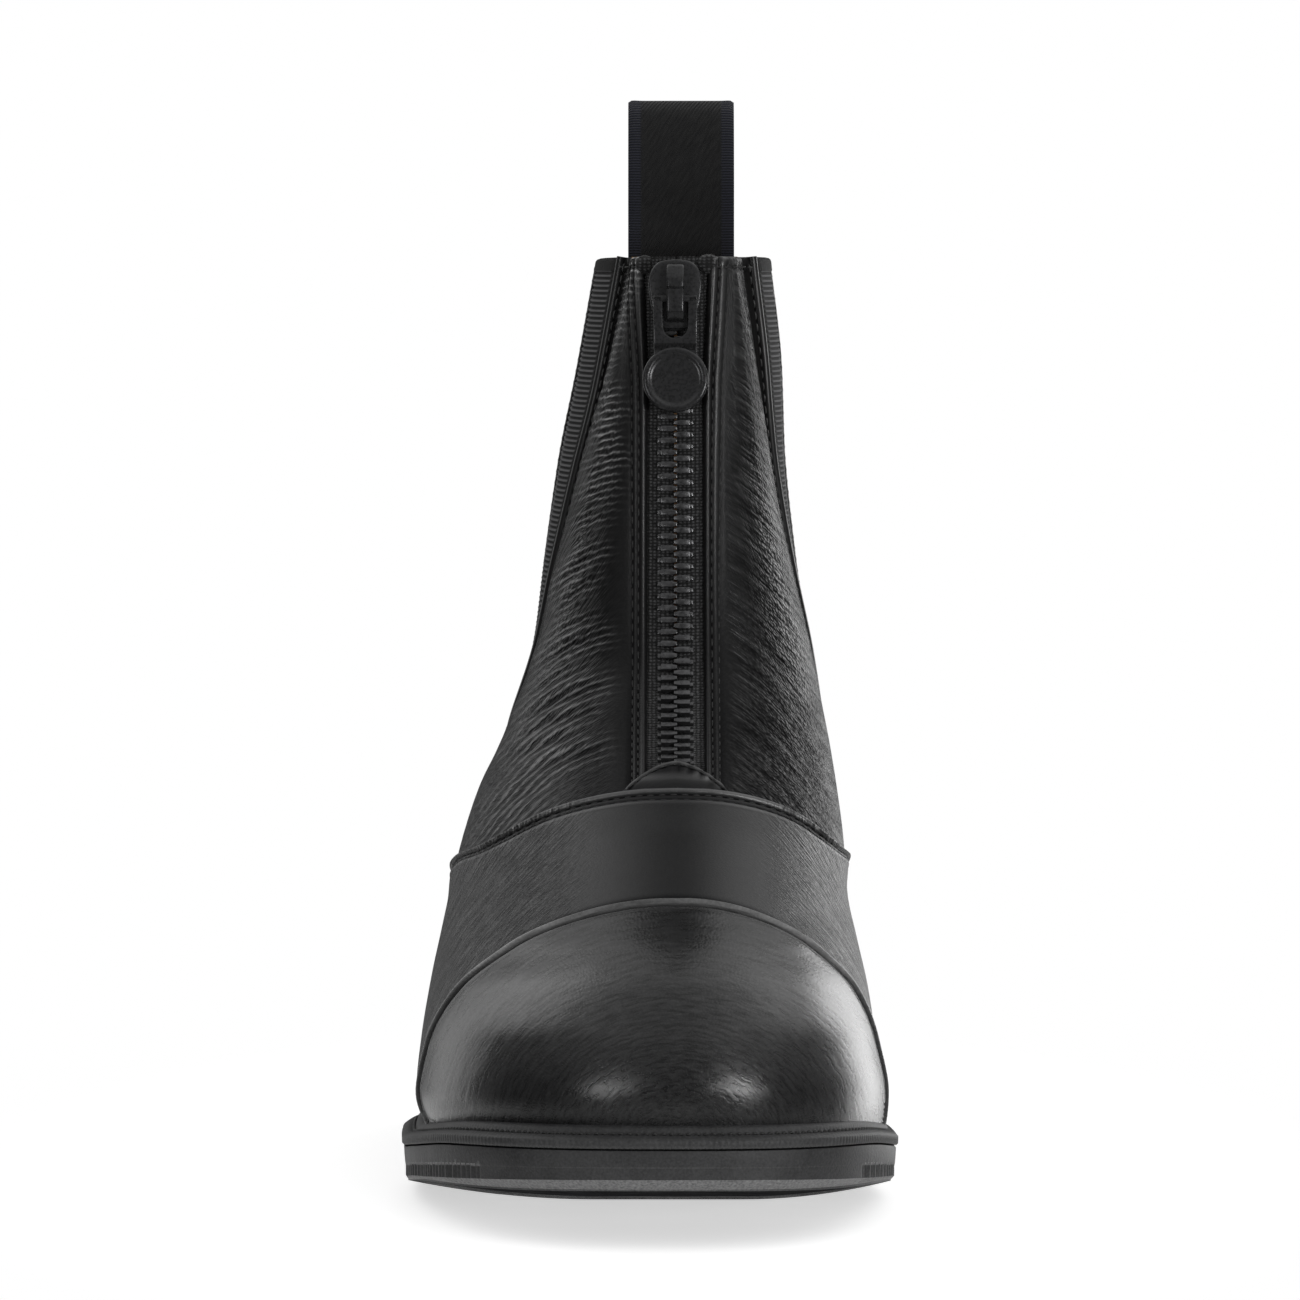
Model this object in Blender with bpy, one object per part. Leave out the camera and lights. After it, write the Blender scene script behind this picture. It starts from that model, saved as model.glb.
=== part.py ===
"""Short front-zip riding boot for the right foot, as an assembly of separate solids.

Sizes are millimetres until a mesh is made. x runs from the outer side of the foot (minus) to the inner side,
s runs back along the sole from the toe tip, z runs up from the floor. u goes round a section of the upper: 0 at
the front, -1 and 1 at the back, minus on the outer side. v climbs from the bottom edge (0) to the collar (1).
"""

import math

import bmesh
import bpy
import numpy as np
from mathutils import Matrix

for old in list(bpy.data.objects):
    bpy.data.objects.remove(old)

# Sizes
MM = 0.001
SOLE_LENGTH = 292.0
WALL = 2.0
GAP = 0.3
WELT_RISE = 4.8
WELT_LIP = 1.6
WELT_OVERHANG = 0.5
INSOLE_THICK = 4.0
ZIP_X = 5.8
SLOT_HALF = 6.4
SLOT_TOP_HALF = 8.0
SLOT_FOOT_Z = 88.0
TOOTH_PITCH = 2.6
COLUMNS = 48

# Where along a section, from its front to its back, each width is measured
FORE_AT = {-1: 0.36, 1: 0.29}
WAIST_AT = 0.58
HEEL_AT = 0.84
TAIL = 0.16

# Height along the boot of the outsole's upper rim, of its wall's lower edge and of its tread under the middle
SOLE_COLUMNS = ("s", "rim", "edge", "tread")
SOLE_ROWS = (
    (0.0, 20.2, 14.0, 14.0),
    (30.0, 17.9, 10.6, 8.4),
    (60.0, 14.1, 7.2, 3.2),
    (88.0, 11.2, 3.8, 0.0),
    (118.0, 11.0, 2.2, 0.0),
    (150.0, 15.6, 7.2, 6.6),
    (178.0, 21.8, 14.0, 14.0),
    (204.0, 26.8, 19.4, 19.4),
    (245.0, 31.6, 24.4, 24.4),
    (292.0, 33.6, 26.4, 26.4),
)

# The tread is flat across this share of its width and rises to the edge outside it
TREAD_FLAT = 0.3
# Rings of points on the tread, each drawn in towards the ball, by shares under the forefoot and the rest
BALL_S = 103.0
FOREFOOT_END = 125.0
HEEL_PART_START = 165.0
TREAD_RINGS = ((0.62, 0.97), (0.30, 0.94))
SOLE_STEPS = 36
RIB_COUNT = 16
RIB_DEPTH = 0.6

# Sections of the last, from the bottom edge to the collar. Each leans from its front point to its back point and
# sinks with the sole by the share in "dip". Widths are measured from "middle". "nose" stretches the rounding in front.
SECTION_COLUMNS = (
    "front", "front_z", "back", "back_z", "dip", "lateral", "medial",
    "lateral_waist", "medial_waist", "heel", "nose", "blunt", "middle",
)
SECTION_ROWS = (
    (7.4, 20.0, 283.5, 33.6, 1.00, 50.5, 41.3, 34.0, 27.0, 29.5, 1.00, 2.40, 6.0),
    (6.2, 24.5, 285.0, 38.1, 1.00, 53.0, 42.6, 36.0, 29.0, 31.2, 1.00, 2.40, 6.0),
    (5.2, 31.0, 287.0, 45.0, 0.95, 55.2, 43.2, 37.5, 31.0, 32.6, 1.00, 2.35, 6.0),
    (7.6, 40.5, 288.0, 52.0, 0.85, 54.2, 41.8, 38.3, 32.0, 33.4, 1.00, 2.25, 6.0),
    (16.0, 49.5, 288.0, 58.5, 0.70, 52.6, 40.4, 38.3, 32.4, 33.7, 1.05, 2.10, 6.0),
    (30.0, 56.0, 287.0, 65.0, 0.52, 51.0, 38.6, 38.0, 32.4, 33.6, 1.15, 2.00, 6.0),
    (50.0, 62.0, 285.5, 71.0, 0.35, 49.3, 37.0, 37.6, 32.4, 33.2, 1.20, 2.00, 6.0),
    (73.0, 69.8, 283.0, 77.5, 0.18, 47.0, 36.6, 37.0, 32.4, 32.6, 1.20, 2.00, 6.0),
    (95.0, 79.3, 279.5, 86.0, 0.06, 43.4, 35.4, 36.0, 32.2, 31.6, 1.15, 2.00, 6.0),
    (113.0, 88.7, 276.0, 94.0, 0.00, 38.8, 34.0, 34.6, 31.6, 30.6, 1.10, 2.00, 6.0),
    (127.0, 99.5, 272.0, 104.0, 0.00, 35.0, 32.0, 33.2, 30.8, 29.6, 1.05, 2.05, 6.0),
    (136.0, 111.0, 268.5, 116.0, 0.00, 32.0, 30.0, 31.2, 29.4, 28.2, 1.00, 2.10, 6.0),
    (140.0, 130.0, 265.5, 134.0, 0.00, 29.6, 26.8, 29.2, 27.0, 26.6, 1.00, 2.15, 6.0),
    (142.0, 150.0, 264.0, 152.0, 0.00, 26.4, 24.6, 26.6, 25.0, 25.0, 1.00, 2.20, 6.0),
    (144.0, 174.0, 262.5, 174.0, 0.00, 22.2, 23.2, 22.6, 23.6, 22.4, 1.00, 2.25, 6.5),
    (146.0, 198.0, 262.0, 197.0, 0.00, 19.0, 19.8, 19.4, 20.0, 19.4, 1.00, 2.30, 7.5),
)
SECTION_COUNT = len(SECTION_ROWS) - 1
FEATHER_V = 1.0 / SECTION_COUNT

# Outline of the outsole's rim, in the same columns as a section
RIM_ROW = dict(zip(SECTION_COLUMNS, (0.0, 0.0, 292.0, 0.0, 1.0, 57.8, 45.8, 40.5, 33.6, 36.0, 1.0, 2.5, 6.0)))

# Edges of a gore opening in side view
GORE_COLUMNS = ("z", "front", "rear")
GORE_ROWS = (
    (88.0, 185.0, 188.4),
    (91.0, 182.4, 190.6),
    (99.0, 178.4, 193.4),
    (112.0, 172.6, 197.4),
    (140.0, 163.4, 205.0),
    (171.0, 157.6, 211.0),
    (215.0, 156.0, 215.0),
)

# Path of the raised vamp edge in side view
VAMP_COLUMNS = ("s", "z")
VAMP_ROWS = (
    (95.0, 93.0),
    (103.6, 83.8),
    (109.0, 78.4),
    (114.0, 73.2),
    (122.0, 69.4),
    (138.0, 66.0),
    (154.0, 58.0),
    (166.0, 45.0),
    (174.0, 30.0),
    (177.0, 22.0),
)
VAMP_EDGE_WIDE = 3.2

# Plan of the toe cap's rear edge
CAP_REAR = 57.0
CAP_SWEEP = 12.0
CAP_HALF = 54.0


# Strap of the pull loop from inside the back wall, over the top and down the outside. "off" is measured back from
# the wall's outer face, and "wrap" is how far the strap follows the wall's curve.
LOOP_COLUMNS = ("z", "off", "wrap")
LOOP_ROWS = (
    (182.0, -4.0, 1.0),
    (197.5, -4.0, 1.0),
    (206.0, -5.2, 0.6),
    (215.0, -6.4, 0.3),
    (225.0, -5.0, 0.1),
    (231.4, -2.4, 0.0),
    (233.2, 0.5, 0.0),
    (231.4, 3.4, 0.0),
    (225.0, 6.0, 0.1),
    (215.0, 6.6, 0.3),
    (206.0, 4.4, 0.6),
    (197.5, 1.5, 1.0),
    (182.0, 1.5, 1.0),
)
LOOP_WIDE = 24.5
LOOP_THICK = 1.6

# Slider and pull, in the slider's own frame: across, down along the zip, and out from the boot
HINGE_Z = 188.5
SLIDER_OUTLINE = ((-3.4, 6.5), (-5.4, 1.0), (-5.9, -3.6), (-5.2, -6.6), (-3.6, -8.3), (0.0, -8.8))
SLIDER_LOW = 0.0
SLIDER_HIGH = 1.3
CROWN_HALF = 1.9
CROWN_OUTLINE = ((-8.0, 1.0), (-7.2, 3.2), (-4.6, 4.4), (2.4, 4.4), (4.6, 3.4), (5.2, 1.0))
CROWN_HOLE = ((-1.25, 1.3), (1.25, 1.3), (1.25, 3.5), (-1.25, 3.5))
PIVOT_OUT = 2.4
BAR_HALF = 0.75
PULL_HALF = 4.8
WINDOW_HALF = 2.75
WINDOW_END = 9.4
DISC_DOWN = 17.5
DISC_R = 7.1
DISC_RECESS_R = 5.8
DISC_RECESS = 0.4


def column(rows, names, name):
    return [row[names.index(name)] for row in rows]


def smooth(at, values, where):
    """Cubic through the points that never overshoots them."""
    at = np.asarray(at, float)
    values = np.asarray(values, float)
    step = np.diff(at)
    rise = np.diff(values) / step
    slope = np.zeros_like(values)
    slope[0] = rise[0]
    slope[-1] = rise[-1]
    before, after = rise[:-1], rise[1:]
    turning = before * after <= 0
    safe_before = np.where(turning, 1.0, before)
    safe_after = np.where(turning, 1.0, after)
    first = 2 * step[1:] + step[:-1]
    second = step[1:] + 2 * step[:-1]
    mean = (first + second) / (first / safe_before + second / safe_after)
    slope[1:-1] = np.where(turning, 0.0, mean)
    where = np.clip(np.asarray(where, float), at[0], at[-1])
    i = np.clip(np.searchsorted(at, where, side="right") - 1, 0, len(step) - 1)
    t = (where - at[i]) / step[i]
    flat = 3 * t**2 - 2 * t**3
    return (
        values[i] * (1 - flat)
        + values[i + 1] * flat
        + slope[i] * step[i] * (t**3 - 2 * t**2 + t)
        + slope[i + 1] * step[i] * (t**3 - t**2)
    )


def ease(share):
    share = np.clip(share, 0.0, 1.0)
    return share * share * (3 - 2 * share)


# Sole heights
def sole_z(name, s):
    return smooth(column(SOLE_ROWS, SOLE_COLUMNS, "s"), column(SOLE_ROWS, SOLE_COLUMNS, name), s)


def rim_z(s):
    return sole_z("rim", s)


def underside_z(s):
    return sole_z("tread", s)


def section_table():
    rows = [dict(zip(SECTION_COLUMNS, row)) for row in SECTION_ROWS]
    for row, lift in zip(rows, (GAP, WELT_RISE)):
        row["front_z"] = float(rim_z(row["front"])) + lift
        row["back_z"] = float(rim_z(row["back"])) + lift
    return {name: [row[name] for row in rows] for name in SECTION_COLUMNS}


TABLE = section_table()
TABLE_V = np.arange(SECTION_COUNT + 1) / SECTION_COUNT


def section(v):
    return {name: smooth(TABLE_V, TABLE[name], v) for name in SECTION_COLUMNS}


def half_width(row, t, side):
    """Half width of a section at share t from its front, on one side."""
    outer = side < 0
    fore = np.where(outer, row["lateral"], row["medial"])
    waist = np.where(outer, row["lateral_waist"], row["medial_waist"])
    fore_at = np.where(outer, FORE_AT[-1], FORE_AT[1])
    wide = fore + (waist - fore) * ease((t - fore_at) / (WAIST_AT - fore_at))
    wide = wide + (row["heel"] - waist) * ease((t - WAIST_AT) / (HEEL_AT - WAIST_AT))
    nose = fore_at * row["nose"]
    front = np.clip(1 - t / nose, 0, 1) ** row["blunt"]
    tail = np.clip(1 - (1 - t) / TAIL, 0, 1) ** 2
    return wide * (1 - front) ** (1 / row["blunt"]) * np.sqrt(1 - tail)


def place_on(row, u):
    """Points of one section at places u round it."""
    side = np.where(u < 0, -1.0, 1.0)
    t = (1 - np.cos(np.pi * np.abs(u))) / 2
    s = row["front"] + (row["back"] - row["front"]) * t
    ends = rim_z(row["front"]) * (1 - t) + rim_z(row["back"]) * t
    z = row["front_z"] + (row["back_z"] - row["front_z"]) * t + row["dip"] * (rim_z(s) - ends)
    return np.stack([row["middle"] + side * half_width(row, t, side), s, z], -1)


def skin(u, v):
    u, v = np.broadcast_arrays(np.asarray(u, float), np.asarray(v, float))
    u = (u + 1) % 2 - 1
    return place_on(section(v), u)


def outward(u, v):
    step = 0.002
    along = skin(u + step, v) - skin(u - step, v)
    up = skin(u, np.minimum(v + step, 1)) - skin(u, np.maximum(v - step, 0))
    normal = np.cross(along, up)
    return normal / np.linalg.norm(normal, axis=-1, keepdims=True)


def form(u, v, out=0.0):
    """The outer face of the upper, moved outwards by out."""
    u, v = np.broadcast_arrays(np.asarray(u, float), np.asarray(v, float))
    return skin(u, v) + outward(u, v) * out


def front_u(v, dx):
    """The place round a section, near its front, that lies dx to the side of the zip."""
    row = section(v)
    x = ZIP_X + dx - row["middle"]
    outer = x < 0
    fore = np.where(outer, row["lateral"], row["medial"])
    nose = np.where(outer, FORE_AT[-1], FORE_AT[1]) * row["nose"]
    share = np.clip(np.abs(x) / fore, 0, 1)
    t = nose * (1 - (1 - share ** row["blunt"]) ** (1 / row["blunt"]))
    return np.where(outer, -1.0, 1.0) * np.arccos(1 - 2 * t) / np.pi


def back_u(v, dx):
    """The place round a section, near its back, that lies dx to the side of its middle."""
    row = section(v)
    share = np.clip(np.abs(dx) / row["heel"], 0, 1)
    t = 1 - TAIL * (1 - np.sqrt(1 - share**2))
    return np.where(dx < 0, -1.0, 1.0) * np.arccos(1 - 2 * t) / np.pi


def rim(u, out=0.0):
    """Plan of the outsole's rim, moved outwards by out, at the rim's height."""
    step = 0.002
    u = np.asarray(u, float)

    def at(w):
        return place_on(RIM_ROW, (w + 1) % 2 - 1)

    along = at(u + step) - at(u - step)
    normal = np.stack([along[..., 1], -along[..., 0]], -1)
    normal = normal / np.linalg.norm(normal, axis=-1, keepdims=True)
    plan = at(u)[..., :2] + normal * np.asarray(out, float)[..., None]
    return np.concatenate([plan, rim_z(plan[..., 1])[..., None]], -1)


def tread_z(x, s):
    """Height of the crowned tread at a place under the sole."""
    aside = x - RIM_ROW["middle"]
    across = np.abs(aside) / half_width(RIM_ROW, s / SOLE_LENGTH, np.sign(aside))
    crown = np.clip((across - TREAD_FLAT) / (1 - TREAD_FLAT), 0, 1) ** 2
    return underside_z(s) + crown * (sole_z("edge", s) - underside_z(s))


def drawn_in(ring, fore, rear):
    """A ring on the tread drawn in towards the ball, less so behind the forefoot."""
    share = ease((ring[:, 1] - FOREFOOT_END) / (HEEL_PART_START - FOREFOOT_END))
    keep = fore + (rear - fore) * share
    x = RIM_ROW["middle"] + (ring[:, 0] - RIM_ROW["middle"]) * keep
    s = BALL_S + (ring[:, 1] - BALL_S) * keep
    return np.stack([x, s, tread_z(x, s)], -1)


# Mesh helpers
def to_world(points):
    points = np.asarray(points, float).reshape(-1, 3)
    return [(x * MM, (s - SOLE_LENGTH / 2) * MM, z * MM) for x, s, z in points]


def material(name, colour, roughness, metallic):
    made = bpy.data.materials.new(name)
    made.use_nodes = True
    shader = made.node_tree.nodes["Principled BSDF"]
    shader.inputs["Base Color"].default_value = (*colour, 1.0)
    shader.inputs["Roughness"].default_value = roughness
    shader.inputs["Metallic"].default_value = metallic
    made.diffuse_color = (*colour, 1.0)
    return made


def solid(name, points, faces, finish=None):
    """A closed mesh from points in millimetres. Without a finish it is a cutter or a blank."""
    mesh = bpy.data.meshes.new(name)
    mesh.from_pydata(to_world(points), [], [tuple(int(i) for i in face) for face in faces])
    work = bmesh.new()
    work.from_mesh(mesh)
    bmesh.ops.recalc_face_normals(work, faces=work.faces[:])
    work.to_mesh(mesh)
    work.free()
    made = bpy.data.objects.new(name, mesh)
    bpy.context.scene.collection.objects.link(made)
    if finish is None:
        made.hide_render = True
        made.display_type = "WIRE"
    else:
        mesh.materials.append(material(name, *finish))
    return made


def cut(target, other, operation):
    step = target.modifiers.new(f"{operation.lower()} {other.name}", "BOOLEAN")
    step.operation = operation
    step.solver = "EXACT"
    step.object = other


def prism(name, outline, axis, low, high, finish=None):
    """A plane outline carried along one axis. The outline lists the other two axes in order."""
    count = len(outline)
    points = []
    for level in (low, high):
        for pair in outline:
            point = list(pair)
            point.insert(axis, level)
            points.append(point)
    faces = [range(count), range(count, 2 * count)]
    faces += [(i, (i + 1) % count, count + (i + 1) % count, count + i) for i in range(count)]
    return solid(name, points, faces, finish)


def loft(name, rings, finish=None, closed=False):
    """Rings of equal length joined in order. Open lofts end in strips between matching sides of a ring."""
    rings = np.asarray(rings, float)
    levels, count = rings.shape[:2]
    faces = []
    for j in range(levels if closed else levels - 1):
        below, above = j * count, (j + 1) % levels * count
        for i in range(count):
            n = (i + 1) % count
            faces.append((below + i, below + n, above + n, above + i))
    if not closed:
        for base in (0, (levels - 1) * count):
            faces += strip(base, count)
    return solid(name, rings.reshape(-1, 3), faces, finish)


def strip(base, count):
    """A ring's inside, as strips from one side of the boot to the other."""
    faces = []
    for i in range(count // 2):
        a, b = i, i + 1
        c, d = (count - i - 1) % count, (count - i) % count
        corners = [base + k for k in dict.fromkeys((a, b, c, d))]
        if len(corners) > 2:
            faces.append(corners)
    return faces


def joined(below, below_places, above, above_places):
    """Triangles between two closed rings of points. Each ring has a first index and places that go round from 0 to 2."""
    faces = []
    i, j = 0, 0
    count, other_count = len(below_places), len(above_places)
    while i < count or j < other_count:
        step = below_places[i + 1] if i + 1 < count else 2.0
        other_step = above_places[j + 1] if j + 1 < other_count else 2.0
        if j == other_count or (i < count and step <= other_step):
            faces.append((below + i, below + (i + 1) % count, above + j % other_count))
            i += 1
        else:
            faces.append((below + i % count, above + (j + 1) % other_count, above + j))
            j += 1
    return faces


def uneven_loft(name, rings, places, finish):
    """Rings with different numbers of points, joined in order and closed by strips."""
    starts = [0]
    for ring in rings:
        starts.append(starts[-1] + len(ring))
    faces = strip(0, len(rings[0])) + strip(starts[-2], len(rings[-1]))
    for k in range(len(rings) - 1):
        faces += joined(starts[k], places[k], starts[k + 1], places[k + 1])
    return solid(name, np.concatenate(rings), faces, finish)


def sheet(name, outer, inner, finish, keep=None):
    """A slab between two grids of points. keep marks the cells that are there."""
    rows, columns = outer.shape[:2]
    if keep is None:
        keep = np.ones((rows - 1, columns - 1), bool)
    points = np.concatenate([outer.reshape(-1, 3), inner.reshape(-1, 3)])
    back = rows * columns
    faces = []

    def present(j, i):
        return 0 <= j < rows - 1 and 0 <= i < columns - 1 and keep[j, i]

    for j in range(rows - 1):
        for i in range(columns - 1):
            if not keep[j, i]:
                continue
            a, b = j * columns + i, j * columns + i + 1
            c, d = b + columns, a + columns
            faces += [(a, b, c, d), (back + d, back + c, back + b, back + a)]
            sides = (((a, b), (j - 1, i)), ((b, c), (j, i + 1)), ((c, d), (j + 1, i)), ((d, a), (j, i - 1)))
            for (p, q), beside in sides:
                if not present(*beside):
                    faces.append((q, p, back + p, back + q))
    used = sorted({i for face in faces for i in face})
    new = {i: k for k, i in enumerate(used)}
    return solid(name, points[used], [[new[i] for i in face] for face in faces], finish)


# Leather is near black. Each finish is colour, roughness and metallic.
LEATHER = ((0.012, 0.012, 0.013), 0.42, 0.0)
CAP_LEATHER = ((0.012, 0.012, 0.013), 0.30, 0.0)
RUBBER = ((0.016, 0.016, 0.017), 0.60, 0.0)
WEB = ((0.014, 0.014, 0.016), 0.85, 0.0)
BOARD = ((0.35, 0.24, 0.14), 0.80, 0.0)
METAL = ((0.020, 0.020, 0.021), 0.45, 0.4)

# Places round a section and heights up it where the upper has its points
RING = np.linspace(-1, 1, COLUMNS + 1)[:-1]
HEIGHTS = np.array(sorted([*range(SECTION_COUNT + 1), 2.5, 3.5, 4.5])) / SECTION_COUNT


def shell(name, outer, inner, heights, finish=None):
    """A tube between two offsets of the upper's outer face."""
    rings = [form(RING, v, outer) for v in heights] + [form(RING, v, inner) for v in heights[::-1]]
    return loft(name, rings, finish, closed=True)


def edge_pair(path, wide):
    """A band of this width along a plane path, as one outline."""
    path = np.asarray(path, float)
    along = np.gradient(path, axis=0)
    across = np.stack([-along[:, 1], along[:, 0]], -1)
    across = across / np.linalg.norm(across, axis=1, keepdims=True) * wide / 2
    return np.concatenate([path + across, (path - across)[::-1]])


def gore_outline(inset):
    z = column(GORE_ROWS, GORE_COLUMNS, "z")
    levels = np.concatenate([np.linspace(z[0], 100, 6), np.linspace(110, z[-1], 7)])
    levels[0] = levels[0] + inset
    front = smooth(z, column(GORE_ROWS, GORE_COLUMNS, "front"), levels) + inset
    rear = smooth(z, column(GORE_ROWS, GORE_COLUMNS, "rear"), levels) - inset
    return [*zip(front, levels)] + [*zip(rear[::-1], levels[::-1])]


# Outsole, with ribs low on its sides at the ball
def build_outsole():
    half = np.arange(SOLE_STEPS + 1) / SOLE_STEPS
    rib_u = np.linspace(0.235, 0.405, 2 * RIB_COUNT + 1)
    beside = half[(half < rib_u[0]) | (half > rib_u[-1])]
    ribbed = np.sort(np.concatenate([beside, rib_u]))
    plain_places, foot_places = (np.concatenate([u, 2 - u[-2:0:-1]]) for u in (half, ribbed))
    ribs = np.isin(np.round(1 - np.abs(1 - foot_places), 6), np.round(rib_u[1::2], 6))
    depth = np.where(ribs, RIB_DEPTH, 0.0)
    top = rim(plain_places)
    edge = sole_z("edge", top[:, 1])
    wall = rim(plain_places, -0.3)
    wall[:, 2] = edge + 0.62 * (top[:, 2] - edge)
    foot = rim(foot_places, -0.7 - depth)
    foot_edge = sole_z("edge", foot[:, 1])
    foot[:, 2] = foot_edge + 0.16 * (rim_z(foot[:, 1]) - foot_edge)
    toe = ease(1 - top[:, 1] / 60)
    tread = rim(plain_places, -2.4 - toe)
    tread[:, 2] = tread_z(tread[:, 0], tread[:, 1])
    rings = [top, wall, foot, tread] + [drawn_in(tread, *shares) for shares in TREAD_RINGS]
    places = [plain_places, plain_places, foot_places] + [plain_places] * (1 + len(TREAD_RINGS))
    made = uneven_loft("outsole", rings, places, RUBBER)
    for k, s in enumerate((52, 64, 76, 88, 100, 112)):
        high = float(underside_z(s)) + 1.8
        reach = 26 + 2 * k
        outline = [(-reach, s - 1.3), (reach + 2, s - 1.3), (reach + 2, s + 1.3), (-reach, s + 1.3)]
        cut(made, prism(f"outsole groove {k}", outline, 2, -6.0, high), "DIFFERENCE")


# Heel block with a line where the top lift joins
def build_heel():
    breast = 0.618
    half = np.linspace(breast, 1.0, 15)
    ring = np.concatenate([half, -half[-2::-1]])
    levels = ((0.0, -2.6), (6.4, -2.2), (6.8, -2.8), (7.4, -2.2), (None, -1.2))
    rings = []
    for z, out in levels:
        line = rim(ring, out)
        line[:, 2] = underside_z(line[:, 1]) - GAP if z is None else z
        rings.append(line)
    rings = np.array(rings)
    levels, count = rings.shape[:2]
    faces = []
    for j in range(levels - 1):
        for i in range(count):
            n = (i + 1) % count
            faces.append((j * count + i, j * count + n, (j + 1) * count + n, (j + 1) * count + i))
    for base in (0, (levels - 1) * count):
        for i in range(count // 2):
            corners = dict.fromkeys((base + i, base + i + 1, base + count - 2 - i, base + count - 1 - i))
            faces.append(list(corners))
    made = solid("heel", rings.reshape(-1, 3), faces, RUBBER)
    for k, s in enumerate((216, 230, 244, 258)):
        outline = [(-14, s - 1.3), (24, s - 1.3), (24, s + 1.3), (-14, s + 1.3)]
        cut(made, prism(f"heel groove {k}", outline, 2, -6.0, 1.8), "DIFFERENCE")


# Welt, sloping from the upper down to its lip
def build_welt():
    bottom = form(RING, 0.0, GAP)
    bottom[:, 2] = rim_z(bottom[:, 1]) + GAP
    top = form(RING, FEATHER_V, GAP)
    lip_top = rim(RING, WELT_OVERHANG)
    lip_low = lip_top.copy()
    lip_top[:, 2] += GAP + WELT_LIP
    lip_low[:, 2] += GAP
    loft("welt", [bottom, top, lip_top, lip_low], RUBBER, closed=True)


def build_insole():
    low = form(RING, 0.0, -WALL - 2 * GAP)
    low[:, 2] = rim_z(low[:, 1]) + 2 * GAP
    high = form(RING, FEATHER_V * INSOLE_THICK / WELT_RISE, -WALL - 3 * GAP)
    high[:, 2] = rim_z(high[:, 1]) + GAP + INSOLE_THICK
    order = np.roll(np.arange(COLUMNS), -COLUMNS // 2)
    loft("insole", [low[order], high[order]], BOARD)


# The upper, cut for the zip and the gores
def build_upper():
    made = shell("upper", 0.0, -WALL, HEIGHTS, LEATHER)
    slot = [
        (ZIP_X - SLOT_HALF, SLOT_FOOT_Z),
        (ZIP_X + SLOT_HALF, SLOT_FOOT_Z),
        (ZIP_X + SLOT_HALF, 170.0),
        (ZIP_X + SLOT_TOP_HALF, 202.0),
        (ZIP_X - SLOT_TOP_HALF, 202.0),
        (ZIP_X - SLOT_HALF, 170.0),
    ]
    outline = [(x, z) for x, z in slot]
    cut(made, prism("zip slot", outline, 1, 60.0, 178.0), "DIFFERENCE")
    cut(made, prism("gore opening", gore_outline(0.0), 0, -90.0, 90.0), "DIFFERENCE")


# Overlays, each cut from a layer over the upper
def layer_heights(last):
    low = FEATHER_V * 1.15
    return np.array([low] + [v for v in HEIGHTS if FEATHER_V * 1.3 < v <= last / SECTION_COUNT + 1e-6])


def build_toe_cap():
    made = shell("toe_cap", 1.5, GAP, layer_heights(8), CAP_LEATHER)
    across = np.linspace(-62.0, 74.0, 25)
    rear = CAP_REAR + CAP_SWEEP * np.abs((across - 6.0) / CAP_HALF) ** 4
    outline = [(-62.0, -20.0), (74.0, -20.0)] + [*zip(across[::-1], rear[::-1])]
    cut(made, prism("toe cap outline", outline, 2, 0.0, 110.0), "INTERSECT")


def vamp_path():
    s = column(VAMP_ROWS, VAMP_COLUMNS, "s")
    z = column(VAMP_ROWS, VAMP_COLUMNS, "z")
    at = np.linspace(0, 1, 25)
    length = np.concatenate([[0], np.cumsum(np.hypot(np.diff(s), np.diff(z)))])
    share = length / length[-1]
    return np.stack([smooth(share, s, at), smooth(share, z, at)], -1)


def build_vamp_edge():
    made = shell("vamp_edge", 1.2, GAP, layer_heights(11), LEATHER)
    outline = edge_pair(vamp_path(), VAMP_EDGE_WIDE)
    cut(made, prism("vamp edge outline", outline, 0, -90.0, 90.0), "INTERSECT")


def build_zip_patch():
    made = shell("zip_patch", 1.2, GAP, layer_heights(12)[5:], LEATHER)
    turn = np.linspace(0, math.pi, 13)
    arch = [(ZIP_X + 12.4 * math.cos(a), 82.0 + 9.0 * math.sin(a)) for a in turn]
    arch += [(ZIP_X - 12.4, 70.0), (ZIP_X + 12.4, 70.0)]
    cut(made, prism("zip patch outline", arch, 1, 60.0, 150.0), "INTERSECT")
    band = edge_pair(vamp_path(), VAMP_EDGE_WIDE + 2 * GAP)
    upper_edge = band[len(band) // 2:][::-1] if band[0][1] < band[-1][1] else band[: len(band) // 2]
    below = [*upper_edge, (180.0, 0.0), (40.0, 0.0), (40.0, 95.0)]
    cut(made, prism("below the vamp edge", below, 0, -90.0, 90.0), "DIFFERENCE")


def build_gore(name, low, high):
    made = shell(name, -0.45, -1.75, HEIGHTS, WEB)
    cut(made, prism(f"{name} outline", gore_outline(GAP), 0, low, high), "INTERSECT")


# Zip
def front_grid(heights, across, out):
    v, dx = np.meshgrid(heights, across, indexing="ij")
    return form(front_u(v, dx), v, out)


def build_tape(name, side):
    heights = np.linspace(8.6 / SECTION_COUNT, 1.0, 17)
    across = side * np.array([0.35, 3.3, 6.4, 9.6])
    outer = front_grid(heights, across, -WALL - 0.45)
    inner = front_grid(heights, across, -WALL - 1.25)
    sheet(name, outer, inner, WEB)


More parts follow.
